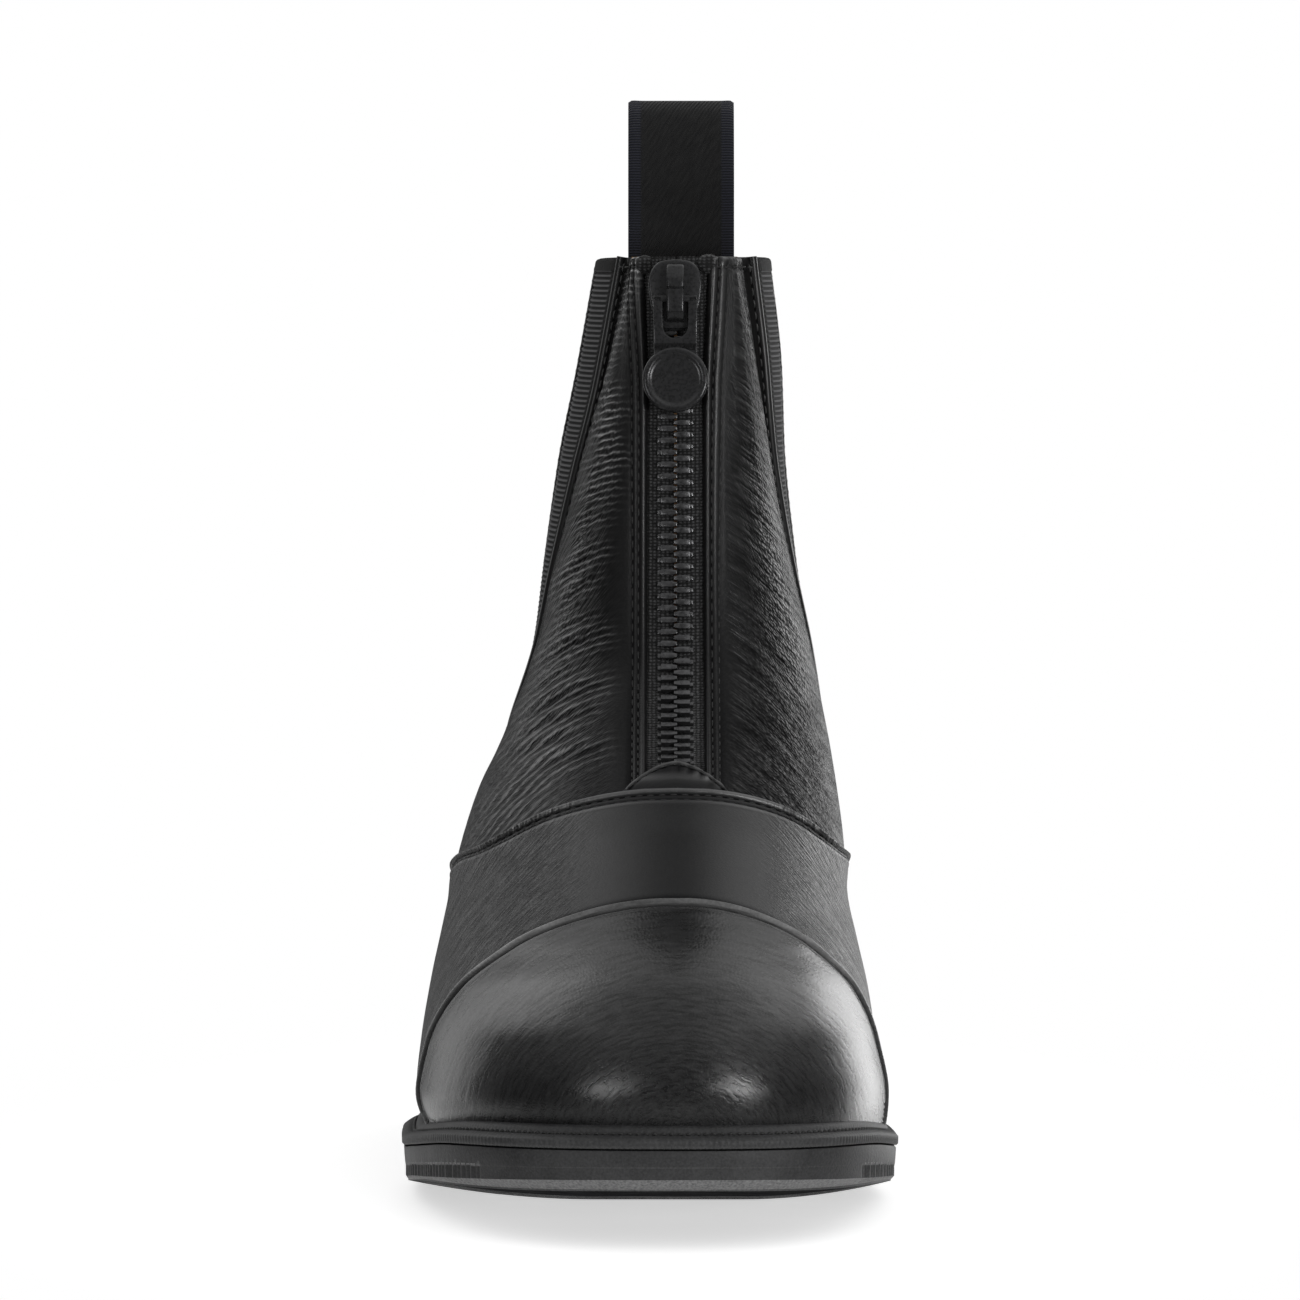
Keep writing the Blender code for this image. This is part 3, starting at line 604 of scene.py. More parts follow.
def shine(tree, shader, levels, texture):
    """Specular level on the ridges of a panel, on its plain face and in its troughs, times a texture: painted
    highlight on the ridges and painted shade, with no shine, in the troughs.
    """
    share = ranged(tree, parts(tree, flow_place(tree))[2], -1.0, 1.0)
    level = ramp(tree, share, tuple((place, (value,)) for place, value in zip((0.0, 0.5, 1.0), levels)))
    tree.links.new(product(tree, level, texture), shader.inputs["Specular IOR Level"])


def fold_parts(tree):
    """Distance across the sweep of the folds, their weight, and the strength of the grain."""
    return parts(tree, add_node(tree, "ShaderNodeAttribute", attribute_name="fold").outputs["Vector"])


def pleats(tree, pitch):
    """Thin broken folds, as heights that are 0.5 where there are none, and the strength of the grain."""
    sweep, weight, grain = fold_parts(tree)
    sway = scaled(tree, noise(tree, flow_place(tree), 0.22, 2.0), -3.0, 3.0)
    turn = maths(tree, "MULTIPLY_ADD", sweep, 2 * math.pi / pitch, sway)
    ridge = maths(tree, "POWER", ranged(tree, maths(tree, "COSINE", turn), -1.0, 1.0), 2.2)
    patchy = scaled(tree, noise(tree, flow_place(tree), 0.5, 2.0), -0.4, 2.4)
    strength = product(tree, weight, patchy)
    return maths(tree, "MULTIPLY_ADD", scaled(tree, ridge, -0.25, 0.75), strength, 0.5), grain


def dashes(tree, pitch):
    """Short broken lines along the sweep, as heights about 0.5, and the strength of the grain."""
    sweep, weight, grain = fold_parts(tree)
    along = parts(tree, flow_place(tree))[1]
    inputs = {"X": product(tree, sweep, 1 / pitch), "Y": product(tree, along, DASH_SQUASH / pitch)}
    place = add_node(tree, "ShaderNodeCombineXYZ", inputs).outputs[0]
    centred = scaled(tree, noise(tree, place, 1.0, 2.0), -1.3, 1.3)
    return maths(tree, "MULTIPLY_ADD", centred, weight, 0.5), grain


def on_folds(tree, folds, levels):
    """Specular levels in the valleys between the folds, on plain leather and on top of the folds: painted
    shade in the valleys, painted highlight on the tops.
    """
    most = max(levels)
    stops = tuple((place, (level / most,)) for place, level in zip((0.25, 0.5, 1.0), levels))
    return product(tree, ramp(tree, folds, stops), most)


def grained(tree, cells, strength):
    """Pebbles fading to a level 0.5 where the grain is weak."""
    return maths(tree, "MULTIPLY_ADD", scaled(tree, cells, -0.5, 0.5), strength, 0.5)


def swayed(tree, place, scale, reach):
    """The place pushed about by a soft noise, so that lines don't run straight."""
    inputs = {"Vector": place, "Scale": scale, "Detail": 1.0}
    cloud = add_node(tree, "ShaderNodeTexNoise", inputs).outputs["Color"]
    inputs = {0: cloud, 1: (reach,) * 3, 2: (-reach / 2,) * 3}
    push = add_node(tree, "ShaderNodeVectorMath", inputs, operation="MULTIPLY_ADD").outputs[0]
    return add_node(tree, "ShaderNodeVectorMath", {0: place, 1: push}, operation="ADD").outputs[0]


# Heights over which the painted light on the quarters rises
PAINTED_LIGHT_FROM, PAINTED_LIGHT_TO = 100.0, 200.0


def painted_light_by_height(tree, low, high):
    """Specular level that rises towards the collar: painted light, brighter high on the shaft and darker low
    down.
    """
    height = parts(tree, object_place(tree))[2]
    share = ranged(tree, height, PAINTED_LIGHT_FROM * MM, PAINTED_LIGHT_TO * MM)
    return ramp(tree, share, ((0.0, (low,)), (0.7, (high,)), (1.0, (1.6 * high,))))


def quarter_leather(name, angle, pitch, levels, plain, height_light, dashed=False):
    """Fine grained leather whose grain leans at an angle, with thin folds whose tops are bright with painted
    highlight.
    """
    made, tree, shader = new_finish(name, 0.42)
    folds, grain = dashes(tree, pitch) if dashed else pleats(tree, pitch)
    cells = grained(tree, pebbles(tree, turned(tree, flow_place(tree), angle, 2.0), 1.8), grain)
    fine = noise(tree, flow_place(tree), 3.2, 3.0)
    relief(tree, shader, (folds, 0.45), (cells, 0.13), (fine, 0.04))
    tint(tree, shader, cells, BLACK, WEAR_AND_SHEEN_BLACK)
    gloss(tree, shader, cells, 0.42, 0.30)
    # Painted highlight on the tops of the grain and folds, painted shade in their valleys
    texture = product(tree, scaled(tree, cells, 0.4, 1.6), on_folds(tree, folds, levels))
    # Painted light: more shine high on the shaft, less low down
    texture = product(tree, texture, painted_light_by_height(tree, *height_light))
    shine(tree, shader, (2.6 * plain, plain, 0.0), texture)
    return made


def vamp_leather():
    """The same leather drawn tighter over the forefoot, with fine lines on its flanks."""
    made, tree, shader = new_finish("vamp_leather", 0.46)
    folds, grain = dashes(tree, 0.55)
    cells = grained(tree, pebbles(tree, flow_place(tree), 2.2), grain)
    fine = noise(tree, flow_place(tree), 3.0, 3.0)
    relief(tree, shader, (folds, 0.2), (cells, 0.08), (fine, 0.035))
    tint(tree, shader, cells, BLACK, WEAR_AND_SHEEN_BLACK)
    gloss(tree, shader, cells, 0.42, 0.30)
    # Painted highlight on the tops of the fine lines and grain, painted shade in their valleys
    texture = product(tree, scaled(tree, cells, 0.6, 1.4), on_folds(tree, folds, (0.55, 1.0, 2.2)))
    shine(tree, shader, (1.6, 0.34, 0.0), texture)
    return made


def cap_leather():
    """Smoothed, polished leather with hairlines that run round the cap."""
    made, tree, shader = new_finish("cap_leather", 0.36)
    place = swayed(tree, flow_place(tree), 0.2, 0.8)
    hair = noise(tree, turned(tree, place, 0.0, 12.0), 1.6, 4.0)
    broad = noise(tree, turned(tree, place, 0.0, 6.0), 0.3, 2.0)
    pores = pebbles(tree, turned(tree, place, 0.0, 1.5), 2.2)
    relief(tree, shader, (broad, 0.10), (hair, 0.07), (pores, 0.02))
    tint(tree, shader, hair, BLACK, WEAR_AND_SHEEN_BLACK)
    gloss(tree, shader, hair, 0.23, 0.33)
    texture = product(tree, scaled(tree, pores, 0.85, 1.1), scaled(tree, hair, 0.3, 1.7))
    shine(tree, shader, (1.5, 0.5, 0.0), texture)
    return made


def lining_leather():
    made, tree, shader = new_finish("lining_leather", 0.68)
    place = object_place(tree)
    cloud = noise(tree, place, 90.0, 3.0)
    relief(tree, shader, (pebbles(tree, place, 1300.0), 0.05))
    tint(tree, shader, cloud, (0.33, 0.19, 0.085), (0.42, 0.26, 0.13))
    return made


def rubber(name, dark, light, floor_glint):
    """Matt rubber with grit, and a grey painted reflection of the floor, broken up by the grit, where it
    slopes under the boot.
    """
    made, tree, shader = new_finish(name, 0.6, specular=0.4)
    place = object_place(tree)
    cloud = noise(tree, place, 160.0, 4.0)
    grit = noise(tree, place, 1900.0, 2.0)
    relief(tree, shader, (grit, 0.10))
    plain = ramp(tree, blended(tree, cloud, grit, 0.5), ((0.35, dark), (0.7, light)))
    aim = add_node(tree, "ShaderNodeNewGeometry").outputs["Normal"]
    slope = ranged(tree, parts(tree, aim)[2], -1.0, 1.0)
    # Painted reflection of the floor on faces that slope down, and no shine on faces that look straight down
    floor_glint_mask = ramp(tree, slope, ((0.015, (0.0,)), (0.05, (1.0,)), (0.30, (1.0,)), (0.42, (0.0,))))
    bright = ramp(tree, slope, ((0.02, (0.0,)), (0.2, (0.4,))))
    tree.links.new(bright, shader.inputs["Specular IOR Level"])
    share = blended(tree, floor_glint_mask, grit, 1.0, "MULTIPLY")
    colour = blended(tree, plain, (*floor_glint, 1.0), share)
    tree.links.new(colour, shader.inputs["Base Color"])
    gloss(tree, shader, cloud, 0.48, 0.7)
    return made


def woven_tape():
    """Threads crossing at right angles, 1 to the millimetre across and 1.4 along."""
    made, tree, shader = new_finish("zip_tape_weave", 0.8, specular=0.3)
    shader.inputs["Sheen Weight"].default_value = 0.15
    place = flow_place(tree)
    counted = add_node(tree, "ShaderNodeMapping", {"Vector": place, "Scale": (1.0, 1.4, 1.0)}).outputs[0]
    checks = add_node(tree, "ShaderNodeTexVoronoi", {"Vector": counted, "Scale": 1.0, "Randomness": 0.25})
    lines = ramp(tree, checks.outputs["Distance"], ((0.0, (1.0,)), (0.62, (0.0,))))
    relief(tree, shader, (lines, 0.3), (noise(tree, place, 5.0, 2.0), 0.12))
    tint(tree, shader, lines, (0.003, 0.003, 0.003), (0.062, 0.062, 0.064))
    return made


def webbing():
    """Twill in the middle of the loop and plainer edges of a bluer black."""
    made, tree, shader = new_finish("loop_webbing", 0.85, specular=0.25)
    shader.inputs["Sheen Weight"].default_value = 0.1
    place = flow_place(tree)
    inputs = {"Vector": turned(tree, place, -32.0, 1.0), "Scale": 0.42, "Distortion": 0.6}
    inputs |= {"Detail": 2.0, "Detail Scale": 2.0}
    ridges = add_node(tree, "ShaderNodeTexWave", inputs).outputs["Color"]
    threads = noise(tree, turned(tree, place, 58.0, 6.0), 1.6, 2.0)
    inputs = {"Vector": place, "Scale": 0.5, "Distortion": 0.4, "Detail": 1.0}
    rows = add_node(tree, "ShaderNodeTexWave", inputs, bands_direction="Y").outputs["Color"]
    side = maths(tree, "ABSOLUTE", parts(tree, place)[0])
    edge = ranged(tree, side, 9.1, 9.6)
    relief(tree, shader, (blended(tree, ridges, rows, edge), 0.22), (threads, 0.14))
    middle = ramp(tree, threads, ((0.3, (0.0055, 0.0055, 0.006)), (0.75, (0.015, 0.015, 0.015))))
    border = ramp(tree, rows, ((0.2, (0.007, 0.008, 0.012)), (0.8, (0.017, 0.018, 0.028))))
    tree.links.new(blended(tree, middle, border, edge), shader.inputs["Base Color"])
    return made


def coated_metal(name, colour, roughness, metallic):
    made, tree, shader = new_finish(name, roughness, metallic)
    place = object_place(tree)
    specks = noise(tree, place, 1500.0, 3.0)
    relief(tree, shader, (specks, 0.015))
    tint(tree, shader, specks, tuple(0.7 * c for c in colour), tuple(1.4 * c for c in colour))
    gloss(tree, shader, specks, roughness - 0.07, roughness + 0.1)
    return made


def ribbed_elastic():
    """Horizontal ribs, dark between, under a plain hem at the collar."""
    made, tree, shader = new_finish("gore_elastic", 0.75, specular=0.12)
    place = object_place(tree)
    inputs = {"Vector": place, "Scale": 0.31416 / (RIB_PITCH * MM), "Distortion": 0.0}
    gaps = add_node(tree, "ShaderNodeTexWave", inputs, bands_direction="Z").outputs["Color"]
    fuzz = noise(tree, place, 1700.0, 2.0)
    plies = noise(tree, turned(tree, flow_place(tree), 90.0, 5.0), 2.4, 1.0)
    relief(tree, shader, (plies, 0.12), (fuzz, 0.05))
    greys = ((0.0, (0.15, 0.15, 0.153)), (0.4, (0.07, 0.07, 0.072)), (0.65, (0.004, 0.004, 0.004)))
    ribs = ramp(tree, gaps, greys)
    plain = parts(tree, flow_place(tree))[2]
    speckled = blended(tree, ribs, fuzz, 0.5, "MULTIPLY")
    colour = blended(tree, speckled, (0.006, 0.006, 0.006, 1.0), plain)
    tree.links.new(colour, shader.inputs["Base Color"])
    return made


def thread():
    made, tree, shader = new_finish("thread", 0.62, specular=0.4)
    twist = noise(tree, object_place(tree), 2400.0, 1.0)
    relief(tree, shader, (twist, 0.06))
    tint(tree, shader, twist, (0.008, 0.008, 0.008), (0.022, 0.022, 0.022))
    return made


LATERAL_LEATHER = quarter_leather("lateral_leather", 38.0, 1.3, (0.5, 1.0, 8.0), 0.19, (0.85, 1.6))
MEDIAL_LEATHER = quarter_leather("medial_leather", -42.0, 0.8, (0.4, 1.0, 3.4), 0.22, (0.55, 1.5), True)
BACK_LEATHER = quarter_leather("back_leather", 80.0, 1.2, (0.5, 1.0, 3.0), 0.3, (1.0, 1.0))
VAMP_LEATHER = vamp_leather()
CAP_LEATHER = cap_leather()
LINING = lining_leather()
WELT_RUBBER = rubber("welt_rubber", (0.012, 0.012, 0.0125), (0.040, 0.040, 0.041), (0.05, 0.05, 0.05))
SOLE_RUBBER = rubber("sole_rubber", (0.008, 0.008, 0.0085), (0.032, 0.032, 0.033), (0.24, 0.24, 0.24))
ELASTIC = ribbed_elastic()
TAPE = woven_tape()
LOOP_WEB = webbing()
TOOTH_METAL = coated_metal("tooth_metal", (0.08, 0.08, 0.082), 0.28, 0.85)
SLIDER_METAL = coated_metal("slider_metal", (0.026, 0.026, 0.027), 0.27, 0.5)
THREAD = thread()


# Panels of leather, laid out on the upper's face
def spaced(curve, shares):
    """Places at shares of a curve's length on the upper's face."""
    length = lengths(skin(curve[:, 0], curve[:, 1]))
    return read_line(curve, length, np.asarray(shares) * length[-1])


def long_of(curve):
    return float(lengths(skin(curve[:, 0], curve[:, 1]))[-1])


DETAIL_DEEP = 0.3
NEAR_EDGE = (0.0, 0.08, 0.22, 0.42, 0.68, 1.0, 1.4, 1.8, 2.2, 2.6, 3.0, 3.5, 4.1, 4.8)


def marks(length, step, first=(0.0,), last=(0.0,)):
    """Shares of a length: close together near its ends, then a step apart."""
    first = np.asarray(first)
    last = length - np.asarray(last)[::-1]
    count = max(2, int(round((last[0] - first[-1]) / step)))
    middle = np.linspace(first[-1], last[0], count + 1)[1:-1]
    return np.concatenate([first, middle, last]) / length


def patch(bottom, top, left, right, across, up):
    """A grid of places inside four edges, left to right and bottom to top."""
    low, high = spaced(bottom, across), spaced(top, across)
    west, east = spaced(left, up), spaced(right, up)
    a = across[None, :, None]
    k = up[:, None, None]
    corners = (
        (1 - a) * (1 - k) * low[0] + a * (1 - k) * low[-1] + (1 - a) * k * high[0] + a * k * high[-1]
    )
    return (1 - k) * low[None] + k * high[None] + (1 - a) * west[:, None] + a * east[:, None] - corners


def respaced(places, axis, first=(0.0,), last=(0.0,)):
    """The grid with its lines moved along one axis to true distances from that axis's two edges."""
    grid = np.moveaxis(places, axis, 0)
    points = skin(grid[..., 0], grid[..., 1])
    steps = np.linalg.norm(np.diff(points, axis=0), axis=-1)
    length = np.concatenate([np.zeros((1, grid.shape[1])), np.cumsum(steps, axis=0)])
    first, last = np.asarray(first), np.asarray(last)
    between = len(grid) - len(first) - len(last)
    made = np.empty_like(grid)
    for i in range(grid.shape[1]):
        total = length[-1, i]
        shrink = min(1.0, 0.42 * total / max(first[-1], last[-1], 0.01))
        start, end = first * shrink, total - last[::-1] * shrink
        middle = np.linspace(start[-1], end[0], between + 2)[1:-1]
        where = np.concatenate([start, middle, end])
        made[:, i] = read_line(grid[:, i], length[:, i], where)
    return np.moveaxis(made, 0, axis)


def away_from_edges(points):
    """Distance of each point of a grid from the grid's left, right, bottom and top edges."""
    along = np.linalg.norm(np.diff(points, axis=1), axis=-1)
    up = np.linalg.norm(np.diff(points, axis=0), axis=-1)
    left = np.concatenate([np.zeros((len(points), 1)), np.cumsum(along, axis=1)], axis=1)
    bottom = np.concatenate([np.zeros((1, points.shape[1])), np.cumsum(up, axis=0)], axis=0)
    return {"left": left, "right": left[:, -1:] - left, "bottom": bottom, "top": bottom[-1:] - bottom}


def rolled(distance, radius):
    """How far a rounded edge falls away near the edge."""
    inside = np.clip(radius - distance, 0, radius)
    return radius - np.sqrt(radius**2 - inside**2)


def panel(
    name, places, height, thick, finish, slot, nodes=(), round_edges=(), roll=1.1, flow=None, fold=None
):
    """A slab of leather on the upper's face.

    height(away, base) gives how proud its face stands and its detail, which the leather finishes paint as
    shade where it sinks and as highlight where it stands out. The finish reads the place on the panel and the
    detail from flow, and the pleats and the strength of the grain from fold.
    """
    u, v = places[..., 0], places[..., 1]
    base, normal = skin(u, v), outward(u, v)
    away = away_from_edges(base)
    level, detail = height(away, base)
    top = level.copy()
    for edge in round_edges:
        top = np.minimum(top, level - rolled(away[edge], roll))
    outer = base + normal * top[..., None]
    inner = base + normal * (np.minimum(level, 1.5) - thick)[..., None]
    points, faces = slab(outer, inner)
    first, second = (away["left"], away["bottom"]) if flow is None else flow(base)
    # Third part of flow: painted shade where positive, in troughs, and painted highlight where negative, on
    # ridges
    extra = {"flow": np.stack([first, second, np.clip(-detail / DETAIL_DEEP, -1, 1)], -1)}
    if fold is not None:
        extra["fold"] = np.stack(fold(base), -1)
    doubled = {title: both_faces(vectors) for title, vectors in extra.items()}
    make_piece(name, points, faces, finish, slot, nodes, sharp=65.0, **doubled)


LINING_THICK = 0.7


def lining(name, places, out):
    """A thin lining under a panel, on every third line of its grid."""
    rows, columns = (np.unique([*range(0, count, 3), count - 1]) for count in places.shape[:2])
    part = places[np.ix_(rows, columns)]
    u, v = part[..., 0], part[..., 1]
    base, normal = skin(u, v), outward(u, v)
    points, faces = slab(base + normal * out, base + normal * (out - LINING_THICK))
    make_piece(name, points, faces, LINING, None, ("upper",))


# Edges of the panels
def cap_u(v, side, rear):
    """The place round a section where the cap's rear edge crosses it."""

    def past(share):
        point = skin(side * share, v)
        return point[..., 1] > rear + CAP_SWEEP * np.abs((point[..., 0] - MIDDLE) / CAP_HALF) ** 4

    return side * halved(past, np.zeros_like(v), np.full_like(v, CAP_REACH))


def cap_line(rear):
    """The cap's rear edge from the outer side over the top to the inner side."""
    crest = float(np.interp(rear, TABLE["front"][2:], TABLE_V[2:]))
    share = np.linspace(0, 1, 200) ** 2
    v = crest - (crest - PANEL_FOOT_V) * share
    outer = np.stack([cap_u(v, -1.0, rear), v], -1)[::-1]
    inner = np.stack([cap_u(v, 1.0, rear), v], -1)
    outer[-1, 0] = 0.0
    return np.concatenate([outer, inner[1:]])


def foot_line(first, last):
    u = np.linspace(first, last, 240)
    return np.stack([u, np.full_like(u, PANEL_FOOT_V)], -1)


def vamp_half(side, shift):
    """One half of the vamp's edge from the front to the sole, moved up by shift."""
    s = np.array(column(VAMP_ROWS, VAMP_COLUMNS, "s"))
    z = np.array(column(VAMP_ROWS, VAMP_COLUMNS, "z"))
    length = np.concatenate([[0], np.cumsum(np.hypot(np.diff(s), np.diff(z)))])
    at = np.linspace(0, length[-1], 160)
    path = np.stack([smooth(length, s, at), smooth(length, z, at)], -1)
    along = unit(np.gradient(path, axis=0))
    path = path + np.stack([-along[:, 1], along[:, 0]], -1) * shift
    places = uv_from_side(path[:, 0], path[:, 1], side)
    places = places[places[:, 1] > PANEL_FOOT_V]
    places[0, 0] = 0.0
    return np.concatenate([places, place_at(path[-1, 0], PANEL_FOOT_V, side)])


def vamp_line(shift):
    return np.concatenate([vamp_half(-1.0, shift)[::-1], vamp_half(1.0, shift)[1:]])


def gore_edge(side, which, inset=0.0, low=88.0):
    """An edge of a gore opening from its foot to the collar."""
    z = column(GORE_ROWS, GORE_COLUMNS, "z")
    levels = np.linspace(low, 196.6, 120)
    edge = column(GORE_ROWS, GORE_COLUMNS, which)
    s = smooth(z, edge, levels) + inset
    end = place_at(smooth(z, edge, 197.5) + inset, 1.0, side)
    return np.concatenate([uv_from_side(s, levels, side), end])


def side_seam(side):
    """From the sole up to the foot of the gore."""
    z = np.linspace(24.0, 87.0, 90)
    s = SIDE_SEAM_FOOT + (186.7 - SIDE_SEAM_FOOT) * (z - 24.0) / 63.0
    places = uv_from_side(s, z, side)
    places = places[places[:, 1] > PANEL_FOOT_V]
    return np.concatenate([place_at(SIDE_SEAM_FOOT, PANEL_FOOT_V, side), places])


def slot_half(z):
    return SLOT_HALF + (SLOT_TOP_HALF - SLOT_HALF) * np.clip((z - 170.0) / 32.0, 0, 1)


def slot_edge(side, low_v):
    v = np.linspace(low_v, 1.0, 200)
    return np.stack([front_u(v, side * slot_half(section(v)["front_z"])), v], -1)


# Creases of the lateral quarter, each a line of (x, z) in front view with its depth and width
CREASES = (
    (((-20.4, 124.4), (-16.3, 129.2), (-13.0, 132.9), (-10.2, 133.8)), 0.40, 1.0),
    (((-19.2, 120.6), (-15.6, 124.8), (-11.0, 128.2)), 0.25, 0.8),
    (((-23.7, 108.4), (-20.0, 111.1), (-16.7, 113.5), (-9.9, 115.4)), 0.60, 1.1),
    (((-22.0, 112.6), (-17.0, 117.4), (-12.0, 119.0)), 0.30, 0.9),
    (((-26.8, 96.9), (-23.1, 99.5), (-18.9, 102.1), (-10.4, 104.7)), 0.60, 1.2),
    (((-25.4, 101.6), (-20.4, 105.6), (-14.0, 108.2)), 0.30, 0.9),
    (((-27.4, 92.5), (-21.5, 96.9), (-12.6, 99.5)), 0.50, 1.0),
    (((-31.1, 88.8), (-23.1, 92.0), (-16.7, 94.7)), 0.50, 1.0),
    (((-28.5, 84.6), (-18.9, 90.0), (-9.9, 92.4)), 0.50, 1.1),
    (((-34.0, 78.0), (-27.0, 83.0), (-19.0, 86.6)), 0.35, 1.2),
    (((-36.0, 72.0), (-30.0, 77.0), (-22.0, 80.6)), 0.30, 1.2),
    (((-11.8, 171.0), (-9.4, 168.0), (-7.2, 168.8)), 0.35, 0.8),
    (((-11.4, 166.0), (-8.6, 163.4), (-6.0, 164.4)), 0.35, 0.9),
    (((-12.6, 161.4), (-9.6, 159.6), (-7.2, 156.6)), 0.40, 0.9),
    (((-11.0, 156.6), (-8.2, 154.0), (-5.4, 153.8)), 0.35, 0.8),
    (((-13.2, 152.4), (-10.0, 151.0), (-7.4, 147.6)), 0.35, 0.9),
    (((-14.6, 146.0), (-11.0, 146.6), (-8.4, 143.8)), 0.30, 0.9),
    (((-15.8, 139.0), (-12.4, 141.2), (-9.2, 140.4)), 0.25, 0.9),
)
# The same for the medial quarter
MEDIAL_CREASES = (
    (((22.0, 118.0), (26.0, 113.0), (29.4, 107.0)), 0.18, 0.8),
    (((20.0, 112.0), (25.0, 106.0), (29.8, 99.0)), 0.20, 0.8),
    (((19.0, 105.0), (25.0, 98.4), (31.0, 91.0)), 0.22, 0.9),
    (((20.0, 97.4), (26.0, 91.4), (33.0, 84.0)), 0.22, 0.9),
    (((22.0, 90.0), (29.0, 84.0), (35.6, 76.0)), 0.25, 1.0),
    (((26.0, 84.0), (32.0, 78.6), (37.4, 71.0)), 0.25, 1.0),
    (((17.6, 150.0), (21.0, 143.0), (23.6, 134.0)), 0.15, 0.9),
)


def crease_field(base, table):
    """Height of the creases, soft troughs between low ridges, and the strength of the pleats by them."""
    x, z = base[..., 0], base[..., 2]
    total = np.zeros_like(x)
    pleated = np.zeros_like(x)
    for line, depth, half in table:
        line = np.asarray(line)
        best = np.full_like(x, 1e9)
        signed = np.zeros_like(x)
        share = np.zeros_like(x)
        for k, (start, end) in enumerate(zip(line[:-1], line[1:])):
            step = end - start
            t = ((x - start[0]) * step[0] + (z - start[1]) * step[1]) / (step @ step)
            near = np.clip(t, 0, 1)
            away = np.hypot(x - start[0] - near * step[0], z - start[1] - near * step[1])
            side = np.sign(step[0] * (z - start[1]) - step[1] * (x - start[0]))
            closer = away < best
            best = np.where(closer, away, best)
            signed = np.where(closer, away * side, signed)
            share = np.where(closer, (k + near) / (len(line) - 1), share)
        fade = np.sin(np.pi * np.clip(0.08 + 0.84 * share, 0, 1)) ** 0.7
        trough = bump_at(best, 0.0, half)
        ridge = 0.75 * bump_at(signed, 1.7 * half, half) + 0.35 * bump_at(signed, -1.7 * half, half)
        total = total + 0.6 * depth * fade * (ridge - trough)
        pleated = np.maximum(pleated, fade * bump_at(best, 0.0, 2.3 * half) * min(1.0, 2.2 * depth))
    return total, pleated


def lateral_sweep(base):
    """Distance across the sweep of the lateral creases, which rise and level out towards the zip."""
    x = base[..., 0] + 10.0
    return (base[..., 2] - 0.3 * x + 0.02 * x**2) / 1.2


def medial_sweep(base):
    x = base[..., 0] - 20.0
    return (base[..., 2] + 0.75 * x + 0.02 * x**2) / 1.4


# Stitches
STITCH_SIDES = 6
# Rings of one stitch: place along it, size, and height in radii
STITCH_RINGS = (
    (-0.5, 0.35, -0.9),
    (-0.36, 0.85, -0.25),
    (0.0, 1.0, 0.0),
    (0.36, 0.85, -0.25),
    (0.5, 0.35, -0.9),
)


def stitch_row(batch, points, normals, long, gap, radius, lift):
    """Short threads laid end to end along a line, their ends sunk into the leather."""
    length = lengths(points)
    places = np.arange(long / 2, length[-1] - long / 2, long + gap)
    middle = read_line(points, length, places)
    normal = unit(read_line(normals, length, places))
    along = unit(read_line(points, length, places + 0.3) - read_line(points, length, places - 0.3))
    aside = np.cross(normal, along)
    turn = np.arange(STITCH_SIDES) * 2 * math.pi / STITCH_SIDES
    faces = tube_faces(len(STITCH_RINGS), STITCH_SIDES)
    for c, t, n, b in zip(middle, along, normal, aside):
        circle = np.outer(np.cos(turn), b) + np.outer(np.sin(turn), n)
        shape = []
        for place, size, sink in STITCH_RINGS:
            centre = c + t * place * long + n * (lift + sink * radius)
            shape.append(centre + radius * size * circle)
        batch.add(np.array(shape), faces)


def sew(line, out, long=1.8, gap=0.8, radius=0.2):
    """A row of stitches along a line of places, at a height above the upper's face."""
    u, v = line[:, 0], line[:, 1]
    stitch_row(SEAM, form(u, v, out), outward(u, v), long, gap, radius, 0.02)


def line_at(places, edge, distance):
    """A line that runs a distance inside one edge of a panel's grid."""
    points = skin(places[..., 0], places[..., 1])
    away = away_from_edges(points)[edge]
    axis = 0 if edge in ("bottom", "top") else 1
    grid = np.moveaxis(places, axis, 0)
    depth = np.moveaxis(away, axis, 0)
    found = []
    for i in range(grid.shape[1]):
        order = np.argsort(depth[:, i])
        found.append(read_line(grid[order, i], depth[order, i], distance))
    return np.array(found)


# Camera, light and floor
def build_camera():
    data = bpy.data.cameras.new("camera")
    data.sensor_width = 36.0
    data.lens = 36.0 * FOCAL_PX / IMAGE
    data.clip_start = 0.05
    data.clip_end = 50.0
    camera = bpy.data.objects.new("camera", data)
    camera.location = (CAMERA_X * MM, -CAMERA_BACK * MM, CAMERA_Z * MM)
    camera.rotation_euler = (math.radians(90.0 - CAMERA_PITCH), 0.0, 0.0)
    bpy.context.scene.collection.objects.link(camera)
    bpy.context.scene.camera = camera


def add_light(name, place, wide, tall, power):
    data = bpy.data.lights.new(name, "AREA")
    data.shape = "RECTANGLE"
    data.size = wide
    data.size_y = tall
    data.energy = power
    light = bpy.data.objects.new(name, data)
    light.location = place
    away = np.array(place) - np.array(LIGHT_AIM)
    flat = math.hypot(away[0], away[1])
    light.rotation_euler = (math.atan2(flat, away[2]), 0.0, math.atan2(away[0], -away[1]))
    bpy.context.scene.collection.objects.link(light)


